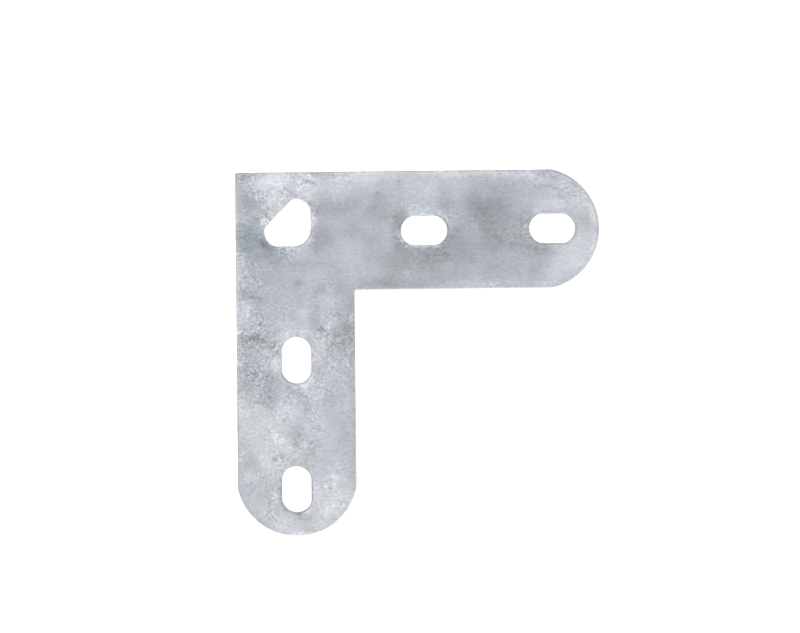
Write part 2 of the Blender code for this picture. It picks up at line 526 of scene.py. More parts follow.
LOWER_ARM_CLOUDS = placed(
    Cloud,
    (5, 42, 11, 5, -20, 12), (2.5, 47, 6, 12, 18), (22.5, 47.5, 5, 6, 18), (30.5, 51, 6, 8, 12),
    (30.5, 44, 6, 6, 8), (38.5, 46, 4, 10, -20), (38, 55, 7, 14, -32), (33, 57, 7, 7, -22),
    (29, 53.3, 4, 3, -26), (27, 50, 4, 6, -10), (10, 50, 6, 6, -12), (18, 53, 10, 5, 14),
    (24, 54, 5, 4, 14), (12.8, 65, 3.5, 7, 22), (9.8, 60, 5, 4, -10), (6, 56, 15, 4, -32),
    (3, 60, 8, 4, -14), (5, 67, 9, 7, -24), (10.5, 72, 6, 14, -26), (4, 72, 9, 7, -14),
    (8, 77.5, 9, 3, -16), (3, 81, 8, 9, 20), (8, 85, 15, 12, 13), (16, 81, 5, 5, 14),
    (13, 89, 8, 7, 18), (9, 94, 8, 6, 10), (29, 57.5, 6, 5, 16), (26.5, 63, 4, 7, 14),
    (24.5, 72, 5.5, 5, 17), (26.5, 75.5, 4, 4, 12), (21, 74.5, 6, 3, -10), (23.5, 79, 5, 5, -18),
    (20.5, 89, 6, 11, -22), (32, 77, 6, 8, -9), (35, 84, 8, 8, -6), (37.5, 92, 7, 16, -12),
    (4.5, 98, 7, 6, -14), (25, 93, 4, 5, -10), (21, 98, 12, 3, -14), (4, 106, 8, 8, -5),
    (10, 108, 6, 8, -6), (13.5, 109, 3, 9, -12), (31, 106, 12, 6, 16), (36, 109, 6, 6, 12),
    (31, 113, 8, 7, 20), (20.5, 116.5, 9, 3, -18), (15, 119, 12, 4, 8), (24, 120, 6, 3, -6),
    (32, 48, 5, 5, -8), (28, 50.5, 3, 3, -7), (36.5, 41, 5, 4, -6), (38.8, 49, 2.5, 4, 13),
    (36, 56.5, 3.5, 4, 15), (15.5, 56.5, 7, 3, 20, -35), (13.5, 62, 4, 3, -10), (1, 54.5, 2, 4, 15),
    (6, 56, 5, 2, 9), (1, 65, 2.5, 5, 11), (8, 66.5, 5, 4, 16), (3, 69, 4, 3, 9), (15.5, 70, 4, 3, -13),
    (26, 72, 4, 3, -8), (28, 66, 5, 6, -6), (37, 63, 5, 3, -9), (38.5, 71, 3, 9, -11),
    (28, 77, 4, 3, -7), (22, 72.7, 4, 2.5, 9), (10, 76, 4, 3, 10), (4, 78, 4, 3, -12),
    (4.5, 82.5, 7, 6, -18), (22, 78, 5, 5, 14), (20, 82, 5, 5, 14), (22, 87, 6, 5, 16),
    (24, 91, 4, 3, 11), (27.5, 84.5, 2.5, 3, 10), (17, 93.5, 4, 4, 12), (21, 97, 6, 4, 15),
    (16, 99, 4, 3, 13), (10, 88, 6, 5, -10), (15, 88, 3, 4, -10), (1.5, 95.5, 3, 4, 11),
    (9.5, 98, 6, 5, 13), (12, 102, 4, 4, 9), (4, 102.5, 5, 5, 14), (13, 108, 3, 5, 10),
    (34, 98, 3, 5, 8), (33, 102.5, 5, 3, 8), (35.5, 107, 4, 4, -10), (38.5, 103, 3, 7, -9),
    (27, 110, 3, 4, 9), (18, 116, 5, 3, 15), (20.5, 121.7, 6, 2.5, 26), (13, 120, 4, 3, 12),
    (28.5, 118.5, 6, 4, 11), (20, 102, 44, 50, 3), (3, 44.5, 5, 3, 8), (11, 49.5, 5, 4, 7),
    (5, 52, 5, 4, -7), (13.5, 45, 5, 7, -5), (21, 47, 4, 8, -4), (26.5, 46, 4, 3, -7),
    (28.5, 51, 4, 3, -6), (39, 48.5, 2, 4, 12), (11.5, 55.3, 5, 2, 12), (15.5, 53.5, 4, 3, -8),
    (18, 55, 4, 1.5, 15), (11.5, 58.8, 6, 2, -12), (10.3, 61.3, 3, 2, 12), (32, 59.5, 3, 4, -6),
    (38.5, 59, 2.5, 3, 11), (38, 65, 3, 3, -8), (14.2, 65, 1.5, 5, 9), (8.7, 70.5, 4, 6, 12),
    (16, 73, 4, 3, -9), (22.5, 73, 4, 3, 8), (38, 74, 4, 6, -7), (25.3, 79.5, 2.5, 3, 12),
    (2, 76, 3, 4, 6), (21, 92.5, 5, 4, 12), (26, 92.5, 5, 3, -9), (15.7, 96.7, 3, 3, -10),
    (13.5, 107.5, 2.5, 5, 10), (29.3, 104.7, 5, 3, -17), (28.3, 112, 4, 3, -8), (38.3, 110.5, 2, 4, 9),
    (16.5, 121, 5, 2, 11), (26, 121, 6, 2.5, 11), (35, 116.5, 5, 3, 9), (37, 94.5, 4, 6, 6),
    (0.6, 55.3, 2.6, 5, 14), (6.3, 55.9, 4, 2.6, 9), (17, 47.5, 4, 3, 5), (39.2, 49.5, 2.6, 8, 6),
    (3.4, 70, 3, 3, 4), (11.5, 89.5, 6, 5, -4), (2.5, 103, 5, 3, -4), (14.9, 98, 2.2, 2.4, 7),
    (15.3, 118.4, 3, 3, -5), (29, 102.6, 4, 2.4, 4), (20, 117.6, 7, 3, 3), (24, 119, 5, 3, 4),
    (20, 85, 60, 75, 1.8), (1, 57.5, 3, 3, 6), (20, 117.5, 8, 3, 3), (14, 58, 3, 4, 4),
    (35.5, 57.5, 3, 3, 5), (38.5, 41, 2.5, 4, 5), (38.6, 50.5, 3, 6, 5), (39, 80, 3, 7, -4),
    (13.2, 67.5, 3, 4, -4), (34.5, 68.5, 4, 4, -3), (1.2, 55, 2.4, 3, 5), (20.5, 78.5, 4, 4, -3),
    (39.2, 51, 2.4, 5, 5), (27, 63, 2.4, 6, -3), (8.5, 50.5, 5, 5, -2), (2.5, 56, 4, 4, 3),
    (38.6, 50, 3, 6, 5), (38.6, 44, 3, 4, 3), (2.5, 57, 3.5, 4, 4), (2.5, 69, 3.5, 4, 3),
    (33, 69, 4, 5, -3), (15, 75, 4, 4, 3), (21, 81, 4, 4, -3.5), (39, 81, 2.5, 4, -3),
    (9, 93, 5, 5, -3.5), (12, 45, 10, 4, 2.5), (15, 105, 3, 4, 3), (13.5, 87, 3, 3, -3),
    (23, 47, 2.5, 2.5, 4), (20.5, 85, 3, 2, 2.5),
)
CORNER_STROKES = placed(
    Stroke,
    (24.8, 3.2, 5, 0.8, -45, 20), (25.6, 2.4, 4, 0.6, 20, 30), (26.6, 1.6, 3, 0.6, -22, 35),
    (24, 4.2, 3.5, 0.6, -22), (27.8, 1, 1.6, 0.7, -50, 20), (33, 1.1, 1.6, 0.6, -34, 20),
    (30.5, 1, 6, 0.5, -18), (37, 1.2, 5, 0.6, -14), (18.6, 6.2, 3, 0.9, -34, 30),
    (19.6, 7.3, 3, 0.7, -24, 20), (16.3, 7.6, 2.5, 0.7, -18, 25), (8, 6.9, 2.2, 0.8, -30, 80),
    (6.2, 8, 3, 0.6, -20, 90), (6.4, 9.2, 3, 0.5, 16, 90), (10.7, 15, 2.4, 0.8, -46, 60),
    (10.2, 10.2, 2.2, 0.8, -34, 70), (11.6, 12.6, 3, 0.6, -26, 40), (10.4, 12, 3, 0.8, 30, 35),
    (13.2, 11, 2.6, 0.6, -24, -50), (9.3, 16, 2.6, 1.5, 34, 90), (7.6, 15.6, 2.4, 1, -34, 90),
    (9.7, 24.4, 3.2, 1.8, -46, 50), (7, 22.6, 1.8, 1, -26), (15.6, 26, 2.2, 0.7, -48, 5),
    (16.2, 27.3, 3, 0.6, -26, 20), (25.6, 11.2, 2.2, 0.5, -36, 10), (27.7, 12.6, 3, 0.9, -28, 85),
    (28.2, 14.5, 1.6, 0.6, -26), (26, 17, 8, 0.9, 18, 90), (26.9, 15.5, 4, 1, 16, 90),
    (24.2, 23.6, 3.6, 1.2, 30, -45), (2.4, 1.2, 2.4, 1.5, -30, 20), (0.7, 0.5, 1.2, 0.6, -40, -35),
    (2.2, 16.5, 4, 0.7, 22), (19.8, 33.5, 0.8, 0.8, -40), (20.5, 37.2, 1.2, 2, -16),
    (12, 28.4, 9, 1.2, -16, 3), (17, 31, 8, 0.9, -18, 4), (3.2, 35.4, 3, 0.5, -30, 10),
    (3, 39.6, 1.4, 1, -40), (5.8, 31.2, 0.8, 1.2, -28), (0.9, 0.9, 1.2, 0.7, -30, -40),
    (2.6, 16.5, 3.4, 0.5, 16), (10.2, 12.8, 0.8, 1.4, -40), (9.8, 24.6, 2.4, 1.6, -26, 50),
    (22.8, 2.6, 2.4, 0.5, -22, 25), (25.6, 3.7, 2.4, 0.5, -20, 15), (26.4, 2.4, 2.4, 0.4, 16, 28),
    (21.6, 3.4, 1.6, 0.5, 12, -30), (18, 7.4, 1.6, 0.8, -16, 10), (17.4, 6.6, 1.2, 0.6, 10, 30),
    (26.9, 11.3, 1.6, 0.5, -18, -10), (26, 12.3, 1.6, 0.6, 14, 10), (26.6, 16, 1.2, 3, 8),
    (2.2, 15.2, 2.6, 0.5, 13, 5), (3, 16.2, 2.6, 0.4, 11, 8), (2, 17, 1.8, 0.4, 15),
    (2.4, 15.8, 2.6, 0.4, -10, 5), (31.5, 15.1, 3.4, 0.4, 9), (31.5, 16.3, 3.4, 0.4, 9),
    (31.5, 15.7, 3.4, 0.4, -8), (31.5, 16.9, 3.4, 0.4, -8), (28.2, 1, 1.8, 0.5, -18),
    (31, 1.4, 1.8, 0.5, -15, 10), (36.5, 1.2, 2.4, 0.5, -14, 5), (34.2, 2.8, 2, 0.5, 10, -8),
    (33.8, 12.6, 1, 1.6, -10, 20), (34.8, 13.2, 1, 1.4, -9, 20), (6.9, 15.6, 0.8, 2, -14),
)
RIGHT_ARM_STROKES = placed(
    Stroke,
    (44, 3.9, 6, 0.5, -12), (55, 3.4, 1.8, 1.3, -20, -20), (59.5, 6, 5, 0.5, -12),
    (48.2, 7.8, 2.6, 1.6, -12), (59, 14, 3, 1.2, 16, -20), (62.5, 14.2, 3.4, 1, 22, 10),
    (69.2, 15.2, 2.6, 1.4, 24, 45), (69.6, 16.5, 3.4, 0.5, -40, 55), (55.4, 22.4, 3, 0.8, 30, 65),
    (57.6, 25.4, 2.2, 0.8, 30, 45), (63, 25.4, 10, 0.6, 14), (60.5, 26, 2.4, 0.7, -30, 15),
    (65.5, 26.4, 2.6, 0.8, -30), (68, 25.6, 3, 0.9, 24, -20), (69.6, 25.4, 2, 1.6, -34),
    (70.8, 28.2, 2, 1.2, -34), (72.5, 22.4, 2.4, 0.8, -40, -15), (72.4, 15.8, 1.6, 1.6, -30),
    (73, 19, 3, 0.5, 10, 90), (83, 13.2, 3, 2, -18), (82.5, 16.5, 4, 0.6, 10, 80),
    (90, 10.2, 4, 1.4, -16, -35), (84.5, 20.2, 5, 0.9, -16, 10), (88.4, 23, 3, 2.6, -16),
    (93.5, 19.5, 2.2, 4, 10), (96, 25.4, 9, 0.6, -18), (101, 26.6, 5, 1.2, -26, 5),
    (100, 28.5, 7, 0.6, -16), (104.6, 25.5, 5, 0.6, -22), (98, 19.6, 2, 0.7, 16, 90),
    (98.9, 16.8, 3, 0.7, -30, -55), (102.6, 1.6, 2.6, 1.2, -24, 5), (107.8, 2.8, 3, 1, -26, 10),
    (106, 5.9, 7, 0.7, -15, 8), (108.5, 6.4, 4, 0.6, -18, 10), (106, 8.2, 3, 0.7, -14, -10),
    (109, 9, 2.4, 1.2, -14), (112.2, 4.2, 0.8, 2.4, 24), (114, 5.4, 1.6, 1.6, -22),
    (118.5, 12.4, 3, 1, 22, 20), (120.2, 15, 4, 1.2, 26, 80), (111.6, 24, 2, 0.6, -26, -60),
    (104, 38, 12, 0.5, 12), (86.4, 38.6, 2.4, 1.4, 20), (104.4, 5.6, 3, 0.9, -14, 5),
    (108, 6.8, 3, 0.7, -16, 15), (101, 5.8, 1.8, 1.4, -16), (99.2, 13.9, 2.6, 2.4, -10),
    (97, 19.6, 1.2, 2.4, -20), (97.6, 19.6, 0.8, 0.8, 10), (105, 26.8, 4, 1.6, -16),
    (105, 13.7, 9, 0.5, 10), (109, 6.7, 4, 0.6, -12, 14), (102, 6.2, 1.6, 0.9, -13),
    (108.4, 9.2, 4, 0.5, -12, 16), (110.2, 10.2, 3, 0.5, -11, 10), (108.8, 8.2, 3.6, 0.5, 9, 12),
    (101.5, 27.2, 6, 0.4, 10), (101, 28, 6, 0.4, 9), (101.4, 27.6, 6, 0.4, -9),
    (92, 8.4, 7, 0.5, 8, -10), (92.5, 9.4, 7, 0.5, -8, -8), (98, 31.8, 5, 0.5, -9, 3),
    (114.5, 26.5, 3, 0.6, 10, 35), (46.5, 10.5, 7, 0.6, 8, -8), (48, 12, 7, 0.6, -7, -8),
    (54, 7.5, 6, 0.6, 8, -6),
)
LOWER_ARM_STROKES = placed(
    Stroke,
    (5.5, 42.2, 3.6, 1, -30), (8, 43, 3.4, 1.2, -20, 20), (6.6, 46, 3.4, 0.8, -24, 25),
    (27, 45.2, 3, 0.5, -28, 30), (26.6, 44.6, 3, 0.5, 18, 30), (34.6, 48.4, 3, 1.2, -28, 40),
    (36.8, 53, 1.6, 4, -22), (28.8, 53.6, 2.2, 1, -34, 20), (4.8, 56.2, 5.5, 1.6, -42),
    (7.6, 55, 0.9, 3, -40, 10), (9.4, 57.2, 2.2, 0.8, -34, 50), (8.8, 54.8, 2, 0.6, 30, -40),
    (2.6, 53, 3, 0.8, -20), (9.2, 51.3, 2.6, 0.8, -26, 10), (12.4, 57.6, 2.6, 0.7, -26, -35),
    (13.4, 60.6, 1.8, 1.4, -34), (10.2, 60.8, 1, 1.8, 22), (13.2, 65, 1.4, 5, 14, 5),
    (6.4, 68.4, 1.2, 1.8, -34), (10, 69, 2.2, 1, -28), (10.9, 76.2, 1.2, 1.8, -34),
    (5.6, 76.6, 2.4, 0.8, 18, -20), (12.6, 69.6, 2.6, 1.2, -24, 10), (15.4, 69.8, 2.6, 0.6, 14, 50),
    (17.5, 72.2, 3, 0.7, -30, 35), (17, 73.8, 4, 0.7, 16, 40), (19.5, 74.6, 5, 1, -26, 15),
    (22.6, 75.6, 3.5, 0.8, -20, 30), (26.5, 78.2, 3, 0.6, 16, 35), (23.4, 78.2, 4, 0.9, -26, 25),
    (17.2, 78.8, 2.2, 0.7, 26, 30), (15, 78.2, 0.8, 1.6, 22), (23.3, 80, 1.6, 1.2, -14),
    (17.5, 80.6, 4, 0.6, 14, 45), (16.2, 83.2, 2, 1, -22, -10), (24.6, 82.2, 2.6, 0.7, 16, 30),
    (22, 86.2, 3, 1, -24, 30), (21, 88.4, 3, 0.8, -14, 45), (27.6, 86, 1, 2.4, -16),
    (11.8, 88, 1, 1.6, 16), (15.6, 89.8, 1.6, 1.2, 28, 30), (17.4, 92.6, 2, 0.6, 28, 30),
    (22.8, 92.4, 2.6, 0.7, 22), (20, 91.8, 2.4, 1.2, -26), (24.8, 91.6, 1.4, 1.2, -24),
    (12.6, 96.6, 1.6, 1.4, -38), (14.4, 97.2, 0.9, 1.6, 30, 20), (14.6, 95.8, 1.4, 0.6, -20, 30),
    (1.6, 95.6, 3, 0.7, -20, 10), (23, 96.2, 1.4, 2.4, -20), (29.5, 105.6, 2.4, 0.8, 26, -38),
    (31.2, 106.6, 1.2, 0.7, -38, 45), (32.6, 108, 2, 1, -20), (29.2, 103.6, 2.4, 0.7, 18, -60),
    (35, 108.6, 2.6, 0.8, 17, 30), (32.4, 102.6, 3, 0.9, 20, 30), (34.2, 112, 4, 0.8, -14, -70),
    (13.8, 106.4, 1.6, 2, -34), (12.6, 110.2, 1.4, 1.8, 30), (10.6, 111.6, 1.6, 0.7, -30, 20),
    (12.8, 108, 1.4, 1, 18), (15.4, 113.4, 3, 1.2, -30, 50), (14.6, 113, 2, 0.5, 26, -50),
    (20.8, 115.4, 2.6, 1.6, -46), (10.6, 114.2, 1.2, 1, -26), (23.8, 113.8, 2.4, 0.8, 24, -40),
    (9.4, 117.4, 4, 0.6, -14, 35), (13.2, 116.8, 3, 0.6, -14, 30), (34.6, 117.2, 4, 0.5, -34, -45),
    (30.4, 120, 4, 0.5, -24, -30), (37.4, 88.6, 2, 1.6, -20, 20), (36.6, 64, 3, 2, 14),
    (34.6, 63.2, 2.4, 0.6, -22, 10), (38.5, 64.2, 1, 1.8, -30), (36.2, 57, 1, 2.8, -30),
    (31.2, 73.4, 2.2, 1.2, -20), (30.8, 73, 1.6, 0.6, 20), (39.1, 98, 14, 0.5, -16, 90),
    (9, 114, 4, 0.5, 12, 55), (10.4, 116.4, 4, 0.5, -12, 42), (12.5, 115.5, 4, 0.5, 12, 45),
    (13.5, 117.6, 4, 0.5, -12, 35), (11.9, 113, 3, 0.5, -14, 50), (15.5, 117.2, 3, 0.5, 14, 25),
    (9.8, 109.9, 1.3, 0.8, -16), (16, 120.5, 6, 0.4, -12, 8), (22, 120.7, 7, 0.4, -12, -3),
    (19, 119.8, 6, 0.4, 12), (5, 105.8, 3.4, 0.5, 8, 60), (3.2, 106, 4, 0.6, -8, 60),
    (31.3, 104.9, 3, 0.8, 32, 8), (29.4, 105.9, 2.2, 0.7, 20, 70), (30.8, 106.8, 0.9, 0.9, -12),
    (33.1, 106, 2.2, 0.7, 20, 55), (15.6, 73.5, 3.2, 0.6, 10, 42), (17.4, 74.2, 2.6, 0.6, -10, 45),
    (19.4, 77.2, 2.4, 0.7, 14, 80), (18.7, 78.6, 1.8, 0.6, -13, 45), (17.9, 79, 1.4, 0.6, 13, 30),
    (15.2, 78.1, 2.2, 0.5, 12, 82), (16.3, 78, 2.2, 0.5, 12, 78), (24, 76.4, 3, 0.5, 10, 25),
    (25.9, 76.9, 1.8, 0.6, -16, 10), (23.7, 82.2, 2.6, 0.5, 14, 8), (25.7, 80.6, 1.6, 0.8, 13, 50),
    (15.9, 83.6, 1.7, 0.9, -12, 10), (21.7, 86.3, 1.6, 1, -14, 20), (24.2, 86, 2, 0.8, 10, 60),
    (26.9, 86.8, 2.2, 0.8, -17, 15), (13.4, 88.8, 2.4, 0.5, 16, 68), (15.5, 89.6, 1.3, 0.7, 18),
    (13.6, 91, 3.6, 0.5, 12, -5), (19.8, 91.3, 2.4, 1.1, -12), (26.4, 89, 3, 0.5, 11, 86),
    (25.8, 89, 3, 0.5, -11, 88), (26.2, 93.5, 3.6, 0.5, -11, 88), (27.1, 93.6, 3, 0.5, 10, 88),
    (37.2, 86.2, 2.6, 0.45, 14, 88), (38.1, 86.2, 2.6, 0.45, 12, 88), (38.2, 83.8, 1.4, 0.8, -14, 70),
    (31.2, 73, 1.8, 0.6, 18, 5), (31.1, 74, 1.8, 0.6, -18, 5), (13.9, 97.5, 2.8, 0.6, 17, 85),
    (12.6, 96.8, 1.4, 1.2, -18, 60), (8.7, 101, 4.5, 0.6, 11, 76), (10.5, 101.5, 5, 0.6, 11, 80),
    (9.7, 100.9, 2, 0.6, -13, 60), (12.6, 106.7, 1.1, 1.3, 16), (10.3, 107.4, 1.3, 0.9, -16),
    (12.5, 110.2, 1.2, 1.6, 17), (15.3, 112.9, 3.4, 0.4, 17, 48), (14.4, 113.2, 2.2, 0.4, -16, -52),
    (15, 114.3, 2.6, 0.4, 13, 5), (18, 118, 1.4, 1, 14, 60), (19.5, 117.3, 1.3, 0.8, 12, 30),
    (19.2, 118.4, 1.2, 0.8, -12), (22.5, 121.5, 4.2, 0.5, 14, -5), (22, 120.7, 3.8, 0.4, -13, -2),
    (14.8, 117.5, 2.8, 0.6, 12, 35), (15.6, 119.1, 2.4, 0.6, 11, 28), (12, 118.6, 3, 0.5, -10, 35),
    (32.9, 103, 2.4, 0.8, 15, 40), (31, 108.1, 1.5, 0.7, -14, 10), (3.4, 107.2, 3.6, 0.6, 12, 42),
    (2.4, 107.6, 3.2, 0.6, -11, 42), (4.6, 107.4, 3, 0.5, -9, 42), (27.7, 112.8, 2.4, 0.6, 10, 80),
    (33.8, 112.6, 3, 0.6, -11, -62),
)
ROUGH_PATCHES = placed(
    Patch,
    (4, 1, 9, 0.7), (23, 2, 11, 0.5), (11, 15, 9, 0.8), (17, 8, 12, 0.42), (26.5, 14, 7, 0.7),
    (8, 8, 11, 0.45), (26, 24, 6, 0.5), (17, 27, 8, 0.7), (2, 28, 7, 0.6), (6, 35, 15, 0.45),
    (4, 20, 10, 0.45), (36, 1, 14, 0.2), (32, 37, 6, 0.35), (56.5, 24, 6, 0.8), (62, 13, 11, 0.28),
    (69, 26.5, 8, 0.48), (72, 15, 7, 0.4), (60, 33, 9, 0.25), (97, 21, 9, 0.4), (103, 1.5, 9, 0.34),
    (90, 0, 14, 0.15), (112, 6, 12, 0.27), (120, 12, 5, 0.3), (121, 24, 5, 0.3), (82, 16, 10, 0.35),
    (91, 22, 12, 0.36), (86, 38, 7, 0.3), (3, 42, 11, 0.5), (7, 48, 9, 0.6), (3, 56, 10, 0.7),
    (11, 58, 9, 0.6), (8, 52, 9, 0.8), (31, 55.5, 11, 0.62), (37.5, 59, 11, 0.65), (35, 66, 13, 0.52),
    (33, 50, 12, 0.42), (7, 69, 13, 0.68), (8, 75, 14, 0.5), (2.5, 64, 10, 0.55), (19, 76, 10, 0.48),
    (25.5, 78, 8, 0.42), (28.5, 70, 14, 0.42), (27, 86, 8, 0.4), (22, 92, 10, 0.45), (13, 90, 10, 0.4),
    (14.5, 97, 8, 0.6), (3, 96, 8, 0.35), (13, 109, 9, 0.55), (30.5, 106, 9, 0.18),
    (36.5, 111, 7, 0.35), (12, 115, 14, 0.38), (20, 95, 76, 0.16), (8, 21, 8, 0.35), (55.5, 20, 6, 0.4),
    (63, 27.5, 10, 0.35), (74.5, 20, 9, 0.28), (117, 10, 9, 0.3), (27, 45, 10, 0.28), (34, 44, 8, 0.2),
    (16, 50.5, 12, 0.3), (21, 56, 9, 0.45), (27.5, 62, 9, 0.42), (33, 62, 12, 0.42), (35, 73, 14, 0.27),
    (36, 86, 12, 0.18), (21, 98, 8, 0.42), (8, 105, 12, 0.38), (3, 104, 8, 0.25), (27, 104, 8, 0.35),
    (4, 85, 10, 0.16), (5, 111, 8, 0.15), (28, 114, 12, 0.25), (3, 14, 7, 0.32), (4, 25, 8, 0.35),
    (9, 63, 9, 0.55), (3, 75, 9, 0.4), (38, 57, 11, 0.62), (38, 68, 12, 0.42), (13, 104, 8, 0.4),
    (20, 117, 12, 0.28), (99, 27, 8, 0.3), (56, 15, 7, 0.3), (20, 1.5, 7, 0.5), (116, 8, 9, 0.36),
    (7, 56.5, 7, 0.9), (13, 67, 7, 0.3), (37, 80, 15, 0.3), (26, 81, 9, 0.4), (33, 99, 10, 0.24),
    (14, 81, 9, 0.36), (11, 108, 6, 0.28),
)
SLANTED_PATCHES = placed(
    Patch,
    (22, 79, 18, 0.8), (24, 3, 8, 1), (27, 46, 9, 0.8), (34, 50, 10, 0.7), (8, 112, 18, 0.8),
    (20, 90, 12, 0.8),
)
UPRIGHT_PATCHES = placed(
    Patch,
    (8, 101, 16, 0.9), (38, 88, 15, 0.5), (10, 112, 12, 0.7), (27, 66, 8, 0.7), (76, 20, 9, 0.6),
)
STAINS = (
    (Tint.BLUE, placed(
        Stain,
        (3.5, 22, 10, 11, 1.6), (14, 27, 14, 3, 0.5), (56, 12.5, 4, 3, 0.6), (57, 26.5, 6, 3, 0.5),
        (69.5, 27, 5, 3, 0.5), (106.5, 27, 7, 2.5, 0.6), (99.5, 13.5, 4, 3, 0.6),
        (26.5, 55.5, 4, 4, 0.6), (12.5, 69, 4, 3, 0.5), (26, 99, 4, 4, 0.5), (3, 105, 6, 6, 0.6),
        (24.5, 117, 5, 6, 0.7), (9, 115.5, 7, 2.5, 0.6), (99.2, 13.9, 3.4, 3.2, 0.9),
        (105.5, 26.8, 5, 2.4, 0.8), (86, 18, 34, 30, 0.25), (8.5, 26.5, 6, 4, 0.5),
        (69, 26.5, 7, 4, 0.4), (60, 26.5, 10, 4, 0.4), (39, 50, 4, 8, 0.4), (9, 75, 4, 4, 0.5),
        (15, 26.5, 6, 4, 0.35),
    )),
    (Tint.MAUVE, placed(
        Stain,
        (9.5, 25.5, 7, 4, 1.4), (20, 26.5, 6, 3, 1.2), (26.5, 20, 3, 7, 1), (56.5, 24.5, 4, 3.5, 1.5),
        (69.8, 24.5, 4, 3.5, 1.5), (64, 27.7, 7, 2, 0.6), (79, 1, 5, 2.5, 1.2), (90, 1, 6, 2.5, 1),
        (65, 0.8, 8, 2, 0.6), (104, 1.2, 14, 3, 1.2), (103, 14, 9, 2, 1), (121.3, 21.5, 2, 6, 1.2),
        (107, 36.8, 7, 3, 0.9), (14, 7, 5, 2.5, 1), (9, 12.2, 4, 2.5, 0.9), (9, 76.7, 6, 2.5, 1.2),
        (13, 98, 5, 8, 0.7), (14, 105, 2.5, 7, 0.8), (12, 118, 14, 5, 0.6, 25), (32, 114, 10, 12, 0.6),
        (26.3, 106, 2, 6, 0.9), (18, 54.5, 5, 1.5, 0.8),
    )),
    (Tint.SAGE, placed(
        Stain,
        (5, 84, 18, 18, 0.75), (7, 97, 16, 16, 0.6), (14, 88, 10, 8, 0.4), (10, 108, 10, 10, 0.5),
        (20, 95.5, 5, 5, 0.8), (19.5, 119, 5, 8, 0.6), (33, 106.5, 14, 4, 0.6), (12.8, 64, 3, 10, 1),
        (13, 55.5, 4, 3, 0.9), (30, 57.5, 8, 5, 1), (26.6, 66, 3, 14, 0.9), (118.5, 9, 7, 6, 1.4),
        (12.5, 11.5, 7, 5, 1, -45), (25, 8.5, 6, 5, 1.1), (8.5, 15.8, 5, 3, 0.9),
        (62, 13.6, 14, 3, 0.9), (94, 21, 4, 7, 0.9), (84.5, 1.2, 4, 3, 0.8), (106, 38.8, 8, 2, 0.8),
        (29, 109, 8, 9, 0.5), (21, 94.5, 4, 3, 0.4),
    )),
    (Tint.WARM, placed(
        Stain,
        (20, 106, 44, 34, 0.3), (30, 0.5, 60, 2.2, 1.2), (85, 0.5, 60, 2.2, 1),
        (17, 9.8, 14, 2.4, 1, -45), (119.5, 15, 4, 16, 0.9, 12), (113, 37.5, 14, 3, 1.2, -35),
        (35, 116.5, 8, 3, 1.2, -45), (5, 114, 8, 3, 0.9, 50), (0.8, 0.7, 1.6, 1.2, 2.4),
        (20, 117, 40, 16, 0.6), (36, 2.5, 60, 6, 0.3), (117, 31.5, 7, 7, 0.6), (5, 83, 14, 14, 0.35),
        (13.4, 63, 3, 9, 0.4), (27, 65, 4, 12, 0.3), (21, 8, 4, 4, 0.6), (99, 14, 5, 4, 0.5),
        (109, 27, 6, 5, 0.5), (122, 20, 3, 5, 0.5), (14, 98, 8, 8, 0.35),
    )),
)
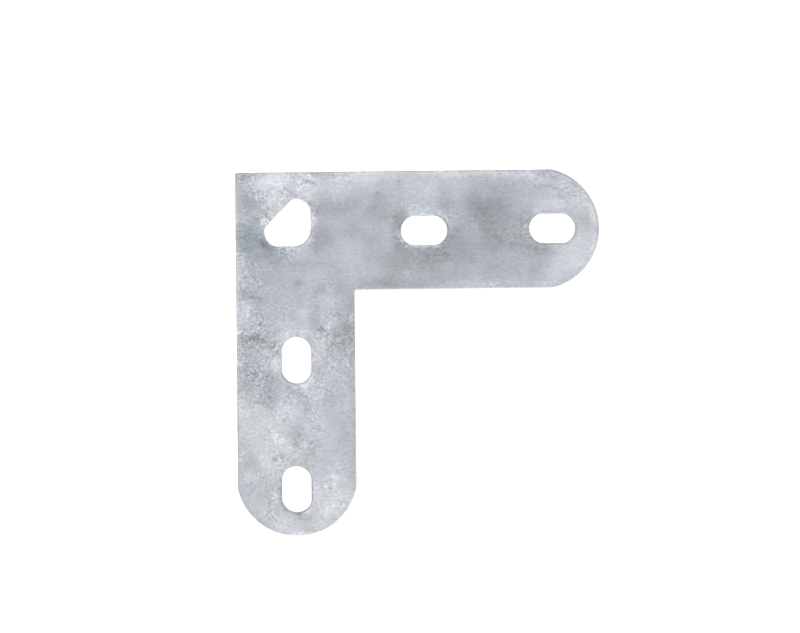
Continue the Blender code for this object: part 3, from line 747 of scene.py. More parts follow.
# Painted shade and painted highlights along the edges, with their tints: the dark and light lines that
# the rounded edges and walls show.
RIM_SHADING_LINES = placed(
    RimShadingLine,
    (CORNER_HOLE, -35, 40, -4, Tint.WARM), (CORNER_HOLE, 50, 125, 4, Tint.WARM, 0.8),
    (CORNER_HOLE, 150, 200, 8, Tint.MAUVE), (NEAR_SLOT, -52, 2, -40, Tint.WARM, 0.4),
    (NEAR_SLOT, -52, -6, 16, Tint.SAGE, 0.5, 1.1), (NEAR_SLOT, 5, 35, -22, Tint.WARM),
    (NEAR_SLOT, 180, 222, -26), (NEAR_SLOT, 38, 172, 14, Tint.SAGE, 0.9),
    (FAR_SLOT, 188, 226, -26, Tint.WARM), (FAR_SLOT, 128, 168, -24, Tint.SAGE),
    (FAR_SLOT, -44, 42, -9, Tint.RUST, 0.35), (FAR_SLOT, 50, 84, -10, Tint.WARM),
    (FAR_SLOT, 84, 128, -20), (FAR_SLOT, 230, 312, -8, Tint.MAUVE),
    (NEAR_LOWER_SLOT, 215, 322, -10, Tint.RUST, 0.5), (NEAR_LOWER_SLOT, 145, 210, 12, Tint.WARM, 0.7),
    (NEAR_LOWER_SLOT, 42, 138, -8, Tint.RUST, 0.45), (NEAR_LOWER_SLOT, -38, 40, -3, Tint.WARM, 0.6),
    (FAR_LOWER_SLOT, 215, 325, -16, Tint.RUST, 0.5), (FAR_LOWER_SLOT, 150, 215, -26),
    (FAR_LOWER_SLOT, 45, 150, -23), (FAR_LOWER_SLOT, -38, 42, -42, Tint.NONE, 0.42),
    (RIGHT_TIP, -80, -60, -28, Tint.MAUVE), (RIGHT_TIP, -60, -24, -20, Tint.SAGE, 0.4),
    (RIGHT_TIP, -24, 22, -20, Tint.WARM, 0.75), (RIGHT_TIP, 22, 75, -20, Tint.WARM, 0.4),
    (LOWER_TIP, 128, 165, -24, Tint.WARM), (LOWER_TIP, 112, 130, -20, Tint.MAUVE, 0.8),
    (LOWER_TIP, 74, 112, -12, Tint.SAGE, 0.4), (LOWER_TIP, 46, 74, -22, Tint.WARM),
    (RIGHT_TIP, -24, -4, 14, Tint.SAGE, 0.5, 1.1), (RIGHT_TIP, -4, 14, -8, Tint.MAUVE, 0.3, 1.8),
    (RIGHT_TIP, -4, 20, 6, Tint.NONE, 0.4, 1.1), (RIGHT_TIP, 24, 50, -6, Tint.MAUVE, 0.3, 1.3),
    (UPPER_SIDE, -131, -49, -12, Tint.SAGE, 0.35), (UPPER_SIDE, -107, -80, 16, Tint.NONE, 0.3, 0.75),
    (UPPER_SIDE, -98, -84, -24, Tint.NONE, 0.25, 1.2), (LEFT_SIDE, 209, 224, 12, Tint.SAGE, 0.5, 0.3),
    (LEFT_SIDE, 196, 209, 9, Tint.SAGE, 0.6, 0.4), (LEFT_SIDE, 182, 196, 9, Tint.MAUVE, 0.5, 0.3),
    (LEFT_SIDE, 162, 182, 6, Tint.MAUVE, 0.4, 0.3), (LEFT_SIDE, 162, 182, -4, Tint.WARM, 0.3, 0.1),
    (LEFT_SIDE, 152, 162, -34, Tint.WARM, 0.4, 0.15), (LEFT_SIDE, 142, 152, -10, Tint.WARM, 0.4, 0.2),
    (NEAR_LOWER_SLOT, 42, 138, 8, Tint.NONE, 0.6, 1.2),
    (LEFT_SIDE, 209, 224, -12, Tint.WARM, 0.25, 0.1), (LEFT_SIDE, 196, 209, -8, Tint.WARM, 0.25, 0.1),
    (FAR_SLOT, -44, 42, 4, Tint.NONE, 0.8, 1.3), (INNER_SIDE, -22, 22, -7, Tint.WARM, 0.45, 0.5),
    (FAR_LOWER_SLOT, -30, 36, 9, Tint.MAUVE, 0.5, 1.2), (CORNER_HOLE, -30, 62, 5, Tint.MAUVE, 1.1, 0.9),
)


# --------------------------------------------------------------------------------------------------
# Zinc coat
# --------------------------------------------------------------------------------------------------


@dataclass(frozen=True)
class Waves:
    """Smooth seeded noise over the plate.

    Attributes:
        size: Size of its largest forms.
        octaves: How many finer layers it has.
        shift: Moves it, so that no two sets of waves are alike.
        strength: Its height, where 1 runs from about -1 to 1.
    """

    size: float
    octaves: int
    shift: float
    strength: float = 1.0

    def at(self, places: np.ndarray) -> np.ndarray:
        """Reads the waves.

        Args:
            places: The points, three columns.

        Returns:
            A height for each point.
        """
        offset = Vector((NOISE_SEED + self.shift, NOISE_SIDESTEP * self.shift, 0))
        heights = [
            noise.fractal(Vector(place) / self.size + offset, NOISE_FADE, NOISE_NARROWING, self.octaves,
                          noise_basis="PERLIN_ORIGINAL")
            for place in places
        ]
        return self.strength * np.array(heights)


@dataclass(frozen=True)
class ZincCoat:
    """How the hot-dip coat lies on the steel: its clouds, its grit and its runs.

    Attributes:
        clouds: The lighter and darker places.
        strokes: The short marks.
        rough: The patches with a rough coat.
        slanted: The patches where the grain slants.
        upright: The patches where the grain stands across the arm's length.
        stains: The places with a faint colour, for each tint.
        rims: The thin lines along the edges: painted shade and painted highlights, with tints.
        rim_tint: How strongly the rims' lines are coloured.
        straying: How far clouds and stains stray, along and down, which gives them a natural edge.
        stroke_straying: The share of it by which strokes stray.
        breaks: The waves that break up the strokes.
        stroke_level: How strong the strokes are on average.
        stroke_most: How strong they are at most.
        broad_tone: Change of brightness over the whole plate, in per cent.
        fine_tone: The same in small forms.
        back_tone: Change of brightness on the back and the walls, as a share.
        unevenness: Change of the rough patches.
        unevenness_range: The least and the most that it leaves of them.
        edge_grit: Roughness along every edge.
        edge_grit_width: How far in from the edge that roughness fades.
        swell: The long waves of the coat.
        pimples: The short waves of the coat.
    """

    clouds: tuple[Cloud, ...] = CORNER_CLOUDS + RIGHT_ARM_CLOUDS + LOWER_ARM_CLOUDS
    strokes: tuple[Stroke, ...] = CORNER_STROKES + RIGHT_ARM_STROKES + LOWER_ARM_STROKES
    rough: tuple[Patch, ...] = ROUGH_PATCHES
    slanted: tuple[Patch, ...] = SLANTED_PATCHES
    upright: tuple[Patch, ...] = UPRIGHT_PATCHES
    stains: tuple[tuple[Tint, tuple[Stain, ...]], ...] = STAINS
    rims: tuple[RimShadingLine, ...] = RIM_SHADING_LINES
    rim_tint: float = 2.0
    straying: tuple[Waves, Waves] = (Waves(4.0, 4, 40.0, 1.3), Waves(4.0, 4, 51.0, 1.3))
    stroke_straying: float = 0.25
    breaks: Waves = Waves(0.9, 2, 31.0, 0.9)
    stroke_level: float = 0.7
    stroke_most: float = 1.3
    broad_tone: Waves = Waves(8.0, 3, 3.0, 2.5)
    fine_tone: Waves = Waves(1.3, 3, 23.0, 3.5)
    back_tone: Waves = Waves(7.0, 4, 90.0, 0.08)
    unevenness: Waves = Waves(2.6, 2, 57.0, 0.5)
    unevenness_range: Range = (0.3, 1.7)
    edge_grit: float = 0.08
    edge_grit_width: float = 1.2
    swell: Waves = Waves(6.0, 3, 60.0, 0.05)
    pimples: Waves = Waves(1.6, 3, 70.0, 0.03)

    def strayed(self, places: np.ndarray) -> np.ndarray:
        """Moves points about by noise.

        Args:
            places: The points.

        Returns:
            The moved points.
        """
        strayed = places.copy()
        for axis, waves in enumerate(self.straying):
            strayed[:, axis] += waves.at(places)
        return strayed

    def tone(self, places: np.ndarray, edge_distance: np.ndarray) -> np.ndarray:
        """Brightness of the zinc, with the painted shade and painted highlights of the rim lines.

        Args:
            places: The points.
            edge_distance: Distance of each point from the nearest edge.

        Returns:
            A brightness for each point, 1 for plain zinc.
        """
        strayed = self.strayed(places)
        change = sum(cloud.strength * cloud.share_at(strayed) for cloud in self.clouds)
        near = places + self.stroke_straying * (strayed - places)
        broken = np.clip(self.stroke_level + self.breaks.at(places), 0, self.stroke_most)
        change += broken * sum(stroke.strength * stroke.share_at(near) for stroke in self.strokes)
        # painted shade and painted highlights along the edges
        change += sum(rim.tone * rim.share_at(places, edge_distance) for rim in self.rims)
        change += self.broad_tone.at(places) + self.fine_tone.at(places)
        return np.exp(change / 100)

    def hue(self, places: np.ndarray, edge_distance: np.ndarray) -> np.ndarray:
        """Colour of the zinc.

        Args:
            places: The points.
            edge_distance: Distance of each point from the nearest edge.

        Returns:
            Red, green and blue for each point, 1 for plain zinc.
        """
        strayed = self.strayed(places)
        hue = np.ones((len(places), 3))
        for tint, stains in self.stains:
            for stain in stains:
                hue += stain.strength * np.outer(stain.share_at(strayed), tint.value)
        for rim in self.rims:
            hue += self.rim_tint * np.outer(rim.share_at(places, edge_distance), rim.tint.value)
        return hue

    @staticmethod
    def patched(patches: tuple[Patch, ...], places: np.ndarray) -> np.ndarray:
        """How much of some patches each point has.

        Args:
            patches: The patches.
            places: The points.

        Returns:
            A share for each point, from 0 to 1.
        """
        total = np.zeros(len(places))
        for patch in patches:
            total = np.maximum(total, patch.share_at(places))
        return total

    def grit(self, places: np.ndarray, edge_distance: np.ndarray) -> np.ndarray:
        """Roughness of the coat.

        Args:
            places: The points.
            edge_distance: Distance of each point from the nearest edge.

        Returns:
            A roughness for each point, from 0 to 1.
        """
        near_edge = self.edge_grit * np.exp(-edge_distance / self.edge_grit_width)
        uneven = np.clip(1 + self.unevenness.at(places), *self.unevenness_range)
        return np.clip(uneven * self.patched(self.rough, self.strayed(places)) + near_edge, 0, 1)


@dataclass(frozen=True)
class Texture:
    """Fine noise in a finish.

    Attributes:
        forms: How many forms a metre has.
        detail: How many finer layers it has.
        coarseness: How strong those layers are.
    """

    forms: float
    detail: float
    coarseness: float


@dataclass(frozen=True)
class Grain:
    """How a texture is drawn out in one direction.

    Attributes:
        turn: How far it is turned.
        forms: How many forms a metre has, along each axis.
    """

    turn: float
    forms: tuple[float, float, float] = (660, 1450, 1300)


class ShaderBench:
    """A node tree with short ways to add what the finishes need."""

    def __init__(self, material: bpy.types.Material) -> None:
        """Clears a material for new nodes.

        Args:
            material: The material that the nodes go into.
        """
        material.use_nodes = True
        self.tree = material.node_tree
        self.tree.nodes.clear()

    def add(self, kind: str, inputs: Inputs, **options: str) -> bpy.types.Node:
        """Adds a node.

        Args:
            kind: The node's type.
            inputs: What goes into each of its sockets: another socket, or a plain value.
            options: Its options, such as the kind of sum.

        Returns:
            The node.
        """
        node = self.tree.nodes.new(kind)
        for name, option in options.items():
            setattr(node, name, option)
        for socket, value in inputs.items():
            if isinstance(value, Socket):
                self.tree.links.new(value, node.inputs[socket])
            else:
                node.inputs[socket].default_value = value
        return node

    def show(self, shader: bpy.types.Node) -> None:
        """Makes a shader the surface of the material."""
        self.add("ShaderNodeOutputMaterial", {"Surface": shader.outputs["BSDF"]})

    def place(self) -> Socket:
        """The place on the object."""
        return self.add("ShaderNodeTexCoord", {}).outputs["Object"]

    def attribute(self, name: str, output: str = "Fac") -> Socket:
        """What the mesh carries under that name, as a number or as a colour."""
        return self.add("ShaderNodeAttribute", {}, attribute_name=name).outputs[output]

    def noise(self, place: Socket, texture: Texture) -> Socket:
        """Noise from 0 to 1, read at that place."""
        sizes = {"Scale": texture.forms, "Detail": texture.detail, "Roughness": texture.coarseness}
        return self.add("ShaderNodeTexNoise", {"Vector": place, **sizes}).outputs["Fac"]

    def grain(self, place: Socket, grain: Grain, texture: Texture) -> Socket:
        """Adds noise that is drawn out in one direction.

        Args:
            place: The place where it is read.
            grain: The direction.
            texture: The noise.

        Returns:
            The noise, from 0 to 1.
        """
        angle = {"Vector": place, "Angle": math.radians(grain.turn)}
        turned = self.add("ShaderNodeVectorRotate", angle, rotation_type="Z_AXIS").outputs["Vector"]
        return self.noise(self.vector_maths("MULTIPLY", {0: turned, 1: grain.forms}), texture)

    def maths(self, operation: str, *numbers: Socket | float) -> Socket:
        """A sum on sockets and plain numbers."""
        return self.add("ShaderNodeMath", dict(enumerate(numbers)), operation=operation).outputs["Value"]

    def vector_maths(self, operation: str, inputs: Inputs) -> Socket:
        """A sum on places or colours."""
        return self.add("ShaderNodeVectorMath", inputs, operation=operation).outputs["Vector"]

    def remap(self, value: Socket, old: Range, new: Range) -> Socket:
        """A value moved from one range to another, and held there."""
        ranges = {"From Min": old[0], "From Max": old[1], "To Min": new[0], "To Max": new[1]}
        return self.add("ShaderNodeMapRange", {"Value": value, **ranges}).outputs["Result"]

    def blend(self, share: Socket, first: Socket, second: Socket) -> Socket:
        """The first value, turning into the second as the share goes from 0 to 1."""
        return self.add("ShaderNodeMix", {0: share, 2: first, 3: second}, data_type="FLOAT").outputs[0]


@dataclass(frozen=True)
class ZincFinish:
    """The look of the matt zinc.

    Attributes:
        colour: Colour of plain zinc.
        smooth_contrast: Contrast of the fine pattern where the coat is smooth.
        rough_contrast: What roughness adds to that contrast.
        grain: The noise of the grain.
        level_grain: The grain's direction on most of the plate.
        slanted_grain: Its direction in the slanted patches.
        upright_grain: Its direction in the upright patches.
        specks: The noise of the specks.
        noise_range: The part of the noise's range that both use.
        middle: The middle of the pattern, which leaves the colour as it is.
        speck_share: Share of the specks in the pattern, where the coat is smooth and where it is rough.
        rough_range: Roughness of the coat at those two.
        edge_sheen: Tint of the gloss at a flat angle.
        metallic: Share of bare metal in the look.
        gloss: Strength of the gloss.
        roughness: The least and the most roughness of the surface.
        roughness_range: The specks at those two.
        bump_strength: Strength of the relief.
        bump_height: Its height in metres.
    """

    colour: Colour = (0.5068, 0.5355, 0.5745)
    smooth_contrast: float = 0.18
    rough_contrast: float = 0.88
    grain: Texture = Texture(1.0, 1.5, 0.6)
    level_grain: Grain = Grain(0, (740, 1450, 1300))
    slanted_grain: Grain = Grain(35)
    upright_grain: Grain = Grain(80)
    specks: Texture = Texture(1080.0, 2.0, 0.72)
    noise_range: Range = (0.34, 0.66)
    middle: float = 0.5
    speck_share: Range = (0.2, 0.85)
    rough_range: Range = (0.0, 0.5)
    edge_sheen: tuple[float, float, float, float] = (0.55, 0.57, 0.60, 1.0)
    metallic: float = 0.55
    gloss: float = 0.25
    roughness: Range = (0.43, 0.67)
    roughness_range: Range = (0.3, 0.7)
    bump_strength: float = 0.5
    bump_height: float = 0.0002

    def material(self) -> bpy.types.Material:
        """Makes the node material.

        Returns:
            The material, which reads the coat's attributes from the mesh.
        """
        material = bpy.data.materials.new("galvanised_zinc")
        nodes = ShaderBench(material)
        pattern, specks, contrast = self.pattern(nodes)
        change = nodes.maths("MULTIPLY", nodes.maths("SUBTRACT", pattern, self.middle), contrast)
        # the tone attribute carries painted shade and painted highlights along the edges and walls as
        # well as the zinc's own tone
        brightness = nodes.maths("MULTIPLY", nodes.attribute("tone"), nodes.maths("EXPONENT", change))
        colour = nodes.vector_maths("MULTIPLY", {0: nodes.attribute("hue", "Color"), 1: self.colour})
        height = nodes.maths("MULTIPLY", pattern, contrast)
        relief = {"Strength": self.bump_strength, "Distance": self.bump_height, "Height": height}
        nodes.show(nodes.add("ShaderNodeBsdfPrincipled", {
            "Base Color": nodes.vector_maths("SCALE", {0: colour, "Scale": brightness}),
            "Metallic": self.metallic,
            "Roughness": nodes.remap(specks, self.roughness_range, self.roughness),
            "Specular IOR Level": self.gloss,
            "Specular Tint": self.edge_sheen,
            "Normal": nodes.add("ShaderNodeBump", relief).outputs["Normal"],
        }))
        return material

    def pattern(self, nodes: ShaderBench) -> tuple[Socket, Socket, Socket]:
        """Adds the fine pattern of grain and specks.

        Args:
            nodes: The material's nodes.

        Returns:
            The pattern from 0 to 1, the specks by themselves, and the pattern's contrast.
        """
        place = nodes.place()
        grit = nodes.attribute("grit")
        level, slanted, upright = (
            nodes.grain(place, grain, self.grain)
            for grain in (self.level_grain, self.slanted_grain, self.upright_grain)
        )
        grain = nodes.blend(nodes.attribute("slant"), level, slanted)
        grain = nodes.blend(nodes.attribute("upright"), grain, upright)
        grain = nodes.remap(grain, self.noise_range, (0.0, 1.0))
        specks = nodes.remap(nodes.noise(place, self.specks), self.noise_range, (0.0, 1.0))
        contrast = nodes.maths("MULTIPLY_ADD", grit, self.rough_contrast, self.smooth_contrast)
        speck_share = nodes.remap(grit, self.rough_range, self.speck_share)
        return nodes.blend(speck_share, grain, specks), specks, contrast


# --------------------------------------------------------------------------------------------------
# The plate
# --------------------------------------------------------------------------------------------------


def eased(share: np.ndarray) -> np.ndarray:
    """A share from 0 to 1 that starts and ends softly."""
    return share * share * (3 - 2 * share)


class EdgeFinder:
    """Finds the nearest point of any outline, and how far from the metal's edge a place is."""

    def __init__(self, loops: list[Loop], facing: list[Loop], step: float) -> None:
        """Puts the outlines' points into a search tree.

        Args:
            loops: The outlines.
            facing: Their directions out of the metal.
            step: Distance between two points of an outline.
        """
        self.points = np.concatenate(loops)
        self.facing = np.concatenate(facing)
        self.half_step = step / 2
        self.tree = kdtree.KDTree(len(self.points))
        for index, (along, down) in enumerate(self.points):
            self.tree.insert((along, down, 0), index)
        self.tree.balance()

    def outward(self, along: float, down: float) -> float:
        """How far out of the metal a place lies.

        Args:
            along: The place, along the plate.
            down: The place, down the plate.

        Returns:
            The distance, below 0 inside the metal.
        """
        index = self.tree.find((along, down, 0))[1]
        gap_along = (along - self.points[index, 0]) * self.facing[index, 0]
        return gap_along + (down - self.points[index, 1]) * self.facing[index, 1]

    def distances(self, places: np.ndarray) -> np.ndarray:
        """Distance of each place from the nearest outline.

        Args:
            places: The places.

        Returns:
            A distance for each place.
        """
        nearest = np.array([self.tree.find((along, down, 0))[1] for along, down, _ in places])
        gap = places[:, :2] - self.points[nearest]
        facing = self.facing[nearest]
        inward = np.abs(np.sum(gap * facing, axis=1))
        sideways = np.abs(gap[:, 0] * facing[:, 1] - gap[:, 1] * facing[:, 0])
        return np.hypot(inward, np.maximum(sideways - self.half_step, 0))


@dataclass
class GalvanisedPlate:
    """The whole plate, as a closed mesh with an uneven zinc coat.

    Attributes:
        sizes: The plate's sizes.
        coat: The zinc's pattern.
        finish: The zinc's look.
        front_grain: Distance between the front face's points.
        back_grain: The same for the back face.
        net_clearance: The least room between those points and the rounded edge, as a share of it.
        merging: Points of a face's net that are nearer than this become one.
        rounding_steps: Rows of faces across a rounded edge.
        wall_steps: Rows of faces up a wall, between its rounded edges.
        wall_dulling_and_painted_shade: Darkening of the cut walls, as a share: partly the duller zinc of
            the cut edge, partly painted shade on walls that the glowing floor lights.
        wall_tint: The colour of the cut walls.
        wall_start: How deep below a face the wall's tint and painted shade start.
        wall_fade: Depth over which it comes in.
        front_start: Share of the height above which the front's marks start.
        front_fade: Share of the height over which they come in.
        face_depth: How near to a face's height its points lie.
        sink: How deep the coat lies on average below the solid's face.
        sink_most: How deep it lies at most.
        sink_fade: Distance from the rounded edge over which it sinks.
        back_sink: The share of that depth on the back.
        even_pimples: Strength of the pimples where the coat is smooth.
    """

    sizes: PlateSizes = field(default_factory=PlateSizes)
    coat: ZincCoat = field(default_factory=ZincCoat)
    finish: ZincFinish = field(default_factory=ZincFinish)
    front_grain: float = 0.38
    back_grain: float = 0.9
    net_clearance: float = 0.55
    merging: float = 1e-6
    rounding_steps: int = 4
    wall_steps: int = 4
    # painted shade: the cut walls darken with depth, partly for the duller zinc of the cut edge
    wall_dulling_and_painted_shade: float = -0.3
    wall_tint: Tint = Tint.WARM
    wall_start: float = 0.1
    wall_fade: float = 0.8
    front_start: float = 0.7
    front_fade: float = 0.25
    face_depth: float = 0.01
    sink: float = 0.08
    sink_most: float = 0.3
    sink_fade: float = 1.5
    back_sink: float = 0.4
    even_pimples: float = 0.5

    def build(self, low: Vector, high: Vector) -> bpy.types.Object:
        """Builds the mesh in the place of the solid.

        Args:
            low: Lowest corner of the solid.
            high: Highest corner of the solid.

        Returns:
            The dressed plate.
        """
        loops = [self.sizes.plate(), self.sizes.corner_hole(), *self.sizes.slots()]
        facing = [out_of_metal(loop, is_hole=index > 0) for index, loop in enumerate(loops)]
        finder = EdgeFinder(loops, facing, self.sizes.edge_step)
        points, faces, rims = self.edges(loops, facing)
        for side, ring in ((Side.FRONT, 0), (Side.BACK, -1)):
            points, net = self.face(points, [rows[ring] for rows in rims], side, finder)
            faces += net
        edge_distance = finder.distances(points)
        points = self.relieved(points, edge_distance)

        mesh = bpy.data.meshes.new("galvanised_plate")
        places = (low.x + points[:, 0] * MM, high.y - points[:, 1] * MM, low.z + points[:, 2] * MM)
        mesh.from_pydata(np.stack(places, axis=1).tolist(), [], faces)
        mesh.polygons.foreach_set("use_smooth", [True] * len(mesh.polygons))
        self.mark(mesh, points, edge_distance)
        mesh.materials.append(self.finish.material())
        mesh.validate()
        plate = bpy.data.objects.new("galvanised_plate", mesh)
        bpy.context.scene.collection.objects.link(plate)
        return plate

    def profile(self) -> list[tuple[float, float]]:
        """Draws the profile of an edge from the front to the back.

        Returns:
            How far in from the wall, and how high, each row of points lies.
        """
        rounding = self.sizes.edge_rounding
        top = self.sizes.thickness
        angles = [math.pi / 2 * (1 - n / self.rounding_steps) for n in range(self.rounding_steps + 1)]
        front = [(rounding * (1 - math.cos(a)), top - rounding * (1 - math.sin(a))) for a in angles]
        flat = top - 2 * rounding
        wall = [(0.0, top - rounding - flat * n / self.wall_steps) for n in range(1, self.wall_steps)]
        back = [(inset, top - height) for inset, height in reversed(front)]
        return front + wall + back

    def edges(self, loops: list[Loop], facing: list[Loop]) -> tuple[np.ndarray, list, list]:
        """Sweeps the edge's profile round every outline.

        Args:
            loops: The outlines, the plate's own first.
            facing: Their directions out of the metal.

        Returns:
            The points, the faces, and for each outline its rows of point numbers.
        """
        points: list[np.ndarray] = []
        faces: list[tuple[int, ...]] = []
        rims: list[list[np.ndarray]] = []
        start = 0
        for index, (loop, direction) in enumerate(zip(loops, facing)):
            rows = []
            for inset, height in self.profile():
                ring = loop - direction * inset
                points.append(np.column_stack([ring, np.full(len(ring), height)]))
                rows.append(np.arange(start, start + len(ring)))
                start += len(ring)
            rims.append(rows)
            metal_is_right = turns_right(loop) != (index == 0)
            for upper, lower in zip(rows, rows[1:]):
                for corners in zip(upper, np.roll(upper, -1), np.roll(lower, -1), lower):
                    quad = tuple(int(corner) for corner in corners)
                    faces.append(quad[::-1] if metal_is_right else quad)
        return np.concatenate(points), faces, rims

    def net_places(self, grain: float, finder: EdgeFinder) -> list[Place]:
        """Lays out the points inside a flat face, in even triangles.

        Args:
            grain: Distance between two points.
            finder: The outlines.

        Returns:
            The points, each clear of every rounded edge.
        """
        limit = -(self.sizes.edge_rounding + self.net_clearance * grain)
        nook = self.sizes.arm_width + self.sizes.inner_corner_radius
        places = []
        for line in range(int(self.sizes.arm_length / (grain * TRIANGLE_HEIGHT))):
            down = line * grain * TRIANGLE_HEIGHT
            first = grain / 2 * (line % 2)
            for along in np.arange(first, self.sizes.arm_length, grain):
                if along > nook and down > nook:
                    break
                if finder.outward(along, down) < limit:
                    places.append((along, down))
        return places

    def face(self, points: np.ndarray, rows: list[np.ndarray], side: Side,
             finder: EdgeFinder) -> tuple[np.ndarray, list]:
        """Fills a flat face with an even net of triangles.

        Args:
            points: All points so far.
            rows: The point numbers of the face's outlines.
            side: The face to fill.
            finder: The outlines.

        Returns:
            All points with the new ones, and the new faces.
        """
        is_front = side is Side.FRONT
        inner = self.net_places(self.front_grain if is_front else self.back_grain, finder)
        rim = np.concatenate(rows)
        numbers = np.concatenate([rim, np.arange(len(points), len(points) + len(inner))])
        flat = [Vector(points[n, :2]) for n in rim] + [Vector(place) for place in inner]
        ends = np.cumsum([len(row) for row in rows])
        outlines = [list(range(end - len(row), end)) for row, end in zip(rows, ends)]
        net_points, _, triangles, _, _, origins = delaunay_2d_cdt(flat, [], outlines, 0, self.merging)
        if len(net_points) != len(flat):
            raise ValueError(f"the {side.value} face's net gained points")
        in_metal = [triangle for triangle, origin in zip(triangles, origins) if origin == [0]]
        order = -1 if is_front else 1
        faces = [tuple(int(numbers[n]) for n in triangle)[::order] for triangle in in_metal]
        height = self.sizes.thickness if is_front else 0.0
        added = np.column_stack([np.array(inner), np.full(len(inner), height)])
        return np.concatenate([points, added]), faces

    def relieved(self, points: np.ndarray, edge_distance: np.ndarray) -> np.ndarray:
        """Sinks the faces by the waves of the coat, so that no point stands proud of the solid.

        Args:
            points: The points.
            edge_distance: Distance of each point from the nearest edge.

        Returns:
            The points with the coat's relief.
        """
        relieved = points.copy()
        front = points[:, 2] > self.sizes.thickness - self.face_depth
        back = points[:, 2] < self.face_depth
        inside = np.clip((edge_distance - self.sizes.edge_rounding) / self.sink_fade, 0, 1)
        roughness = self.even_pimples + self.coat.grit(points, edge_distance)
        pimples = self.coat.pimples.at(points) * roughness
        depth = np.clip(self.sink + self.coat.swell.at(points) + pimples, 0, self.sink_most)
        depth *= eased(inside)
        relieved[front, 2] -= depth[front]
        relieved[back, 2] += self.back_sink * depth[back]
        return relieved

    def mark(self, mesh: bpy.types.Mesh, points: np.ndarray, edge_distance: np.ndarray) -> None:
        """Writes the coat's tone, with the painted shade of the walls and rim lines, and its hue and
        grit to the mesh, for the material to read.

        Args:
            mesh: The plate's mesh.
            points: Its points.
            edge_distance: Distance of each point from the nearest edge.
        """
        height = points[:, 2] / self.sizes.thickness
        front = np.clip((height - self.front_start) / self.front_fade, 0, 1)
        depth = np.minimum(points[:, 2], self.sizes.thickness - points[:, 2])
        wall = np.clip((depth - self.wall_start) / self.wall_fade, 0, 1)
        # the back and the walls: random tone, with painted shade darkening the walls below the faces
        back = np.exp(self.coat.back_tone.at(points)) * (1 + self.wall_dulling_and_painted_shade * wall)
        values = {
            "tone": front * self.coat.tone(points, edge_distance) + (1 - front) * back,
            "grit": self.coat.grit(points, edge_distance),
            "slant": self.coat.patched(self.coat.slanted, points),
            "upright": self.coat.patched(self.coat.upright, points),
        }
        for name, numbers in values.items():
            attribute = mesh.attributes.new(name, "FLOAT", "POINT")
            attribute.data.foreach_set("value", numbers.astype(np.float32))
        hue = 1 + front[:, None] * (self.coat.hue(points, edge_distance) - 1)
        hue += np.outer(wall, self.wall_tint.value)
        colours = np.column_stack([hue, np.ones(len(hue))]).astype(np.float32)
        mesh.attributes.new("hue", "FLOAT_COLOR", "POINT").data.foreach_set("color", colours.ravel())


# --------------------------------------------------------------------------------------------------
# Floor, light and camera
# --------------------------------------------------------------------------------------------------


@dataclass
class PaleFloor:
    """The pale floor that the plate lies on.

    Attributes:
        size: Length of its sides in metres.
        colour: Its colour.
        roughness: Roughness of its surface.
        glow: How strongly it glows, as a lit studio table does.
        shade: The darkest and the lightest share of its colour.
        shade_noise: Where it is darker.
        shade_range: The part of that noise's range that the shade uses.
    """

    size: float = 3.0
    colour: Colour = (0.9, 0.9, 0.9)
    roughness: float = 0.9
    glow: float = 0.85
    shade: Range = (0.99, 1.0)
    shade_noise: Texture = Texture(3.0, 2.0, 0.5)
    shade_range: Range = (0.3, 0.7)

    def build(self, height: float) -> bpy.types.Object:
        """Lays the floor.

        Args:
            height: Height of the floor in metres.

        Returns:
            The floor.
        """
        half = self.size / 2
        sides = ((-half, -half), (half, -half), (half, half), (-half, half))
        mesh = bpy.data.meshes.new("pale_floor")
        mesh.from_pydata([(*side, height) for side in sides], [], [(0, 1, 2, 3)])
        mesh.materials.append(self.material())
        floor = bpy.data.objects.new("pale_floor", mesh)
        bpy.context.scene.collection.objects.link(floor)
        return floor

    def material(self) -> bpy.types.Material:
        """Makes a matt white that glows a little.

        Returns:
            The material.
        """
        material = bpy.data.materials.new("lit_table")
        nodes = ShaderBench(material)
        shade = nodes.remap(nodes.noise(nodes.place(), self.shade_noise), self.shade_range, self.shade)
        nodes.show(nodes.add("ShaderNodeBsdfPrincipled", {
            "Base Color": nodes.vector_maths("SCALE", {0: self.colour, "Scale": shade}),
            "Roughness": self.roughness,
            "Emission Color": (1, 1, 1, 1),
            "Emission Strength": self.glow,
        }))
        return material


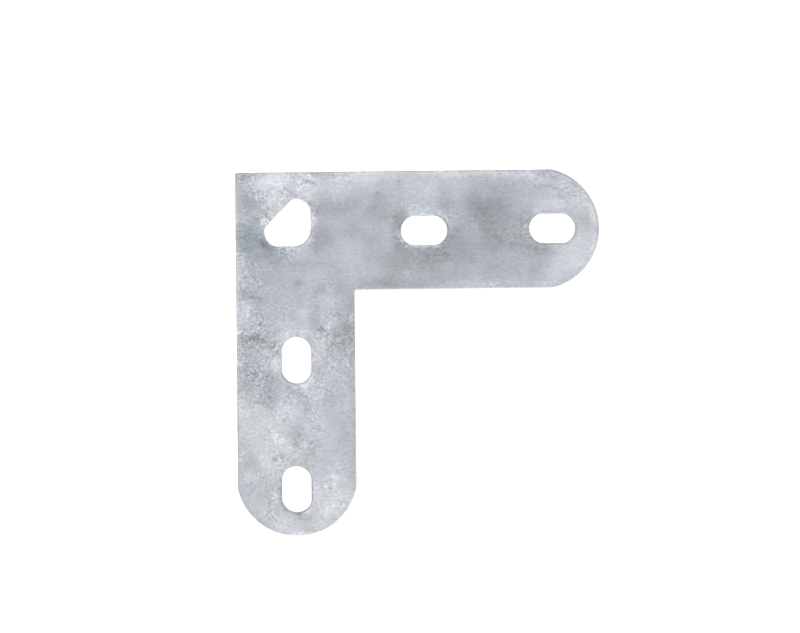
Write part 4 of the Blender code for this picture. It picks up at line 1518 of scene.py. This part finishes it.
@dataclass
class Studio:
    """The light and the camera.

    Attributes:
        dome: Strength of the even light from all sides.
        key_power: Power of the key light in watts.
        key_place: Place of the key light in metres.
        key_size: Length and width of the key light in metres.
        lens: Focal length of the camera in millimetres.
        sensor: Width of its sensor in millimetres.
        clip: The nearest and the furthest that it sees, in metres.
        camera_place: Place of the camera in millimetres.
        camera_turns: Its lean, swing and roll in degrees.
    """

    dome: float = 0.86
    key_power: float = 10.0
    key_place: tuple[float, float, float] = (0.15, -1.1, 0.9)
    key_size: tuple[float, float] = (1.4, 0.8)
    lens: float = 72.0
    sensor: float = 36.0
    clip: Range = (0.01, 20.0)
    camera_place: tuple[float, float, float] = (-3.02, 7.44, 542.37)
    camera_turns: tuple[float, float, float] = (0.504, 0.332, -0.613)

    def light(self) -> None:
        """Sets the dome of even light and hangs the key light."""
        world = bpy.data.worlds.new("studio_dome")
        world.use_nodes = True
        dome = world.node_tree.nodes["Background"].inputs
        dome["Color"].default_value = (1, 1, 1, 1)
        dome["Strength"].default_value = self.dome
        bpy.context.scene.world = world
        lamp = bpy.data.lights.new("key_light", "AREA")
        lamp.shape = "RECTANGLE"
        lamp.size, lamp.size_y = self.key_size
        lamp.energy = self.key_power
        key = bpy.data.objects.new("key_light", lamp)
        key.location = self.key_place
        key.rotation_euler = Vector(self.key_place).to_track_quat("Z", "Y").to_euler()
        bpy.context.scene.collection.objects.link(key)

    def camera(self) -> bpy.types.Object:
        """Hangs the camera above the plate.

        Returns:
            The camera.
        """
        data = bpy.data.cameras.new("camera")
        data.lens = self.lens
        data.sensor_width = self.sensor
        data.clip_start, data.clip_end = self.clip
        camera = bpy.data.objects.new("camera", data)
        camera.location = Vector(self.camera_place) * MM
        camera.rotation_euler = Euler([math.radians(turn) for turn in self.camera_turns], "XYZ")
        bpy.context.scene.collection.objects.link(camera)
        bpy.context.scene.camera = camera
        bpy.context.scene.view_settings.view_transform = "Standard"
        return camera


def corners(box: tuple) -> list[list[float]]:
    """A box's two corners as plain lists."""
    return [[float(value) for value in corner] for corner in box]


def main() -> None:
    """Builds the plate, its floor and its studio in order."""
    logging.basicConfig(level=logging.INFO, format="%(name)s: %(message)s")
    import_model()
    low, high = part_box("corner_plate")

    plate = GalvanisedPlate().build(low, high)
    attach(plate, "root")
    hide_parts("corner_plate")
    LOG.info("%s: %d faces", plate.name, len(plate.data.polygons))

    floor = PaleFloor().build(low.z)
    LOG.info("%s at %.4f m", floor.name, low.z)

    studio = Studio()
    studio.light()
    camera = studio.camera()
    LOG.info("%s at %s", camera.name, tuple(camera.location))


if __name__ == "__main__":
    main()
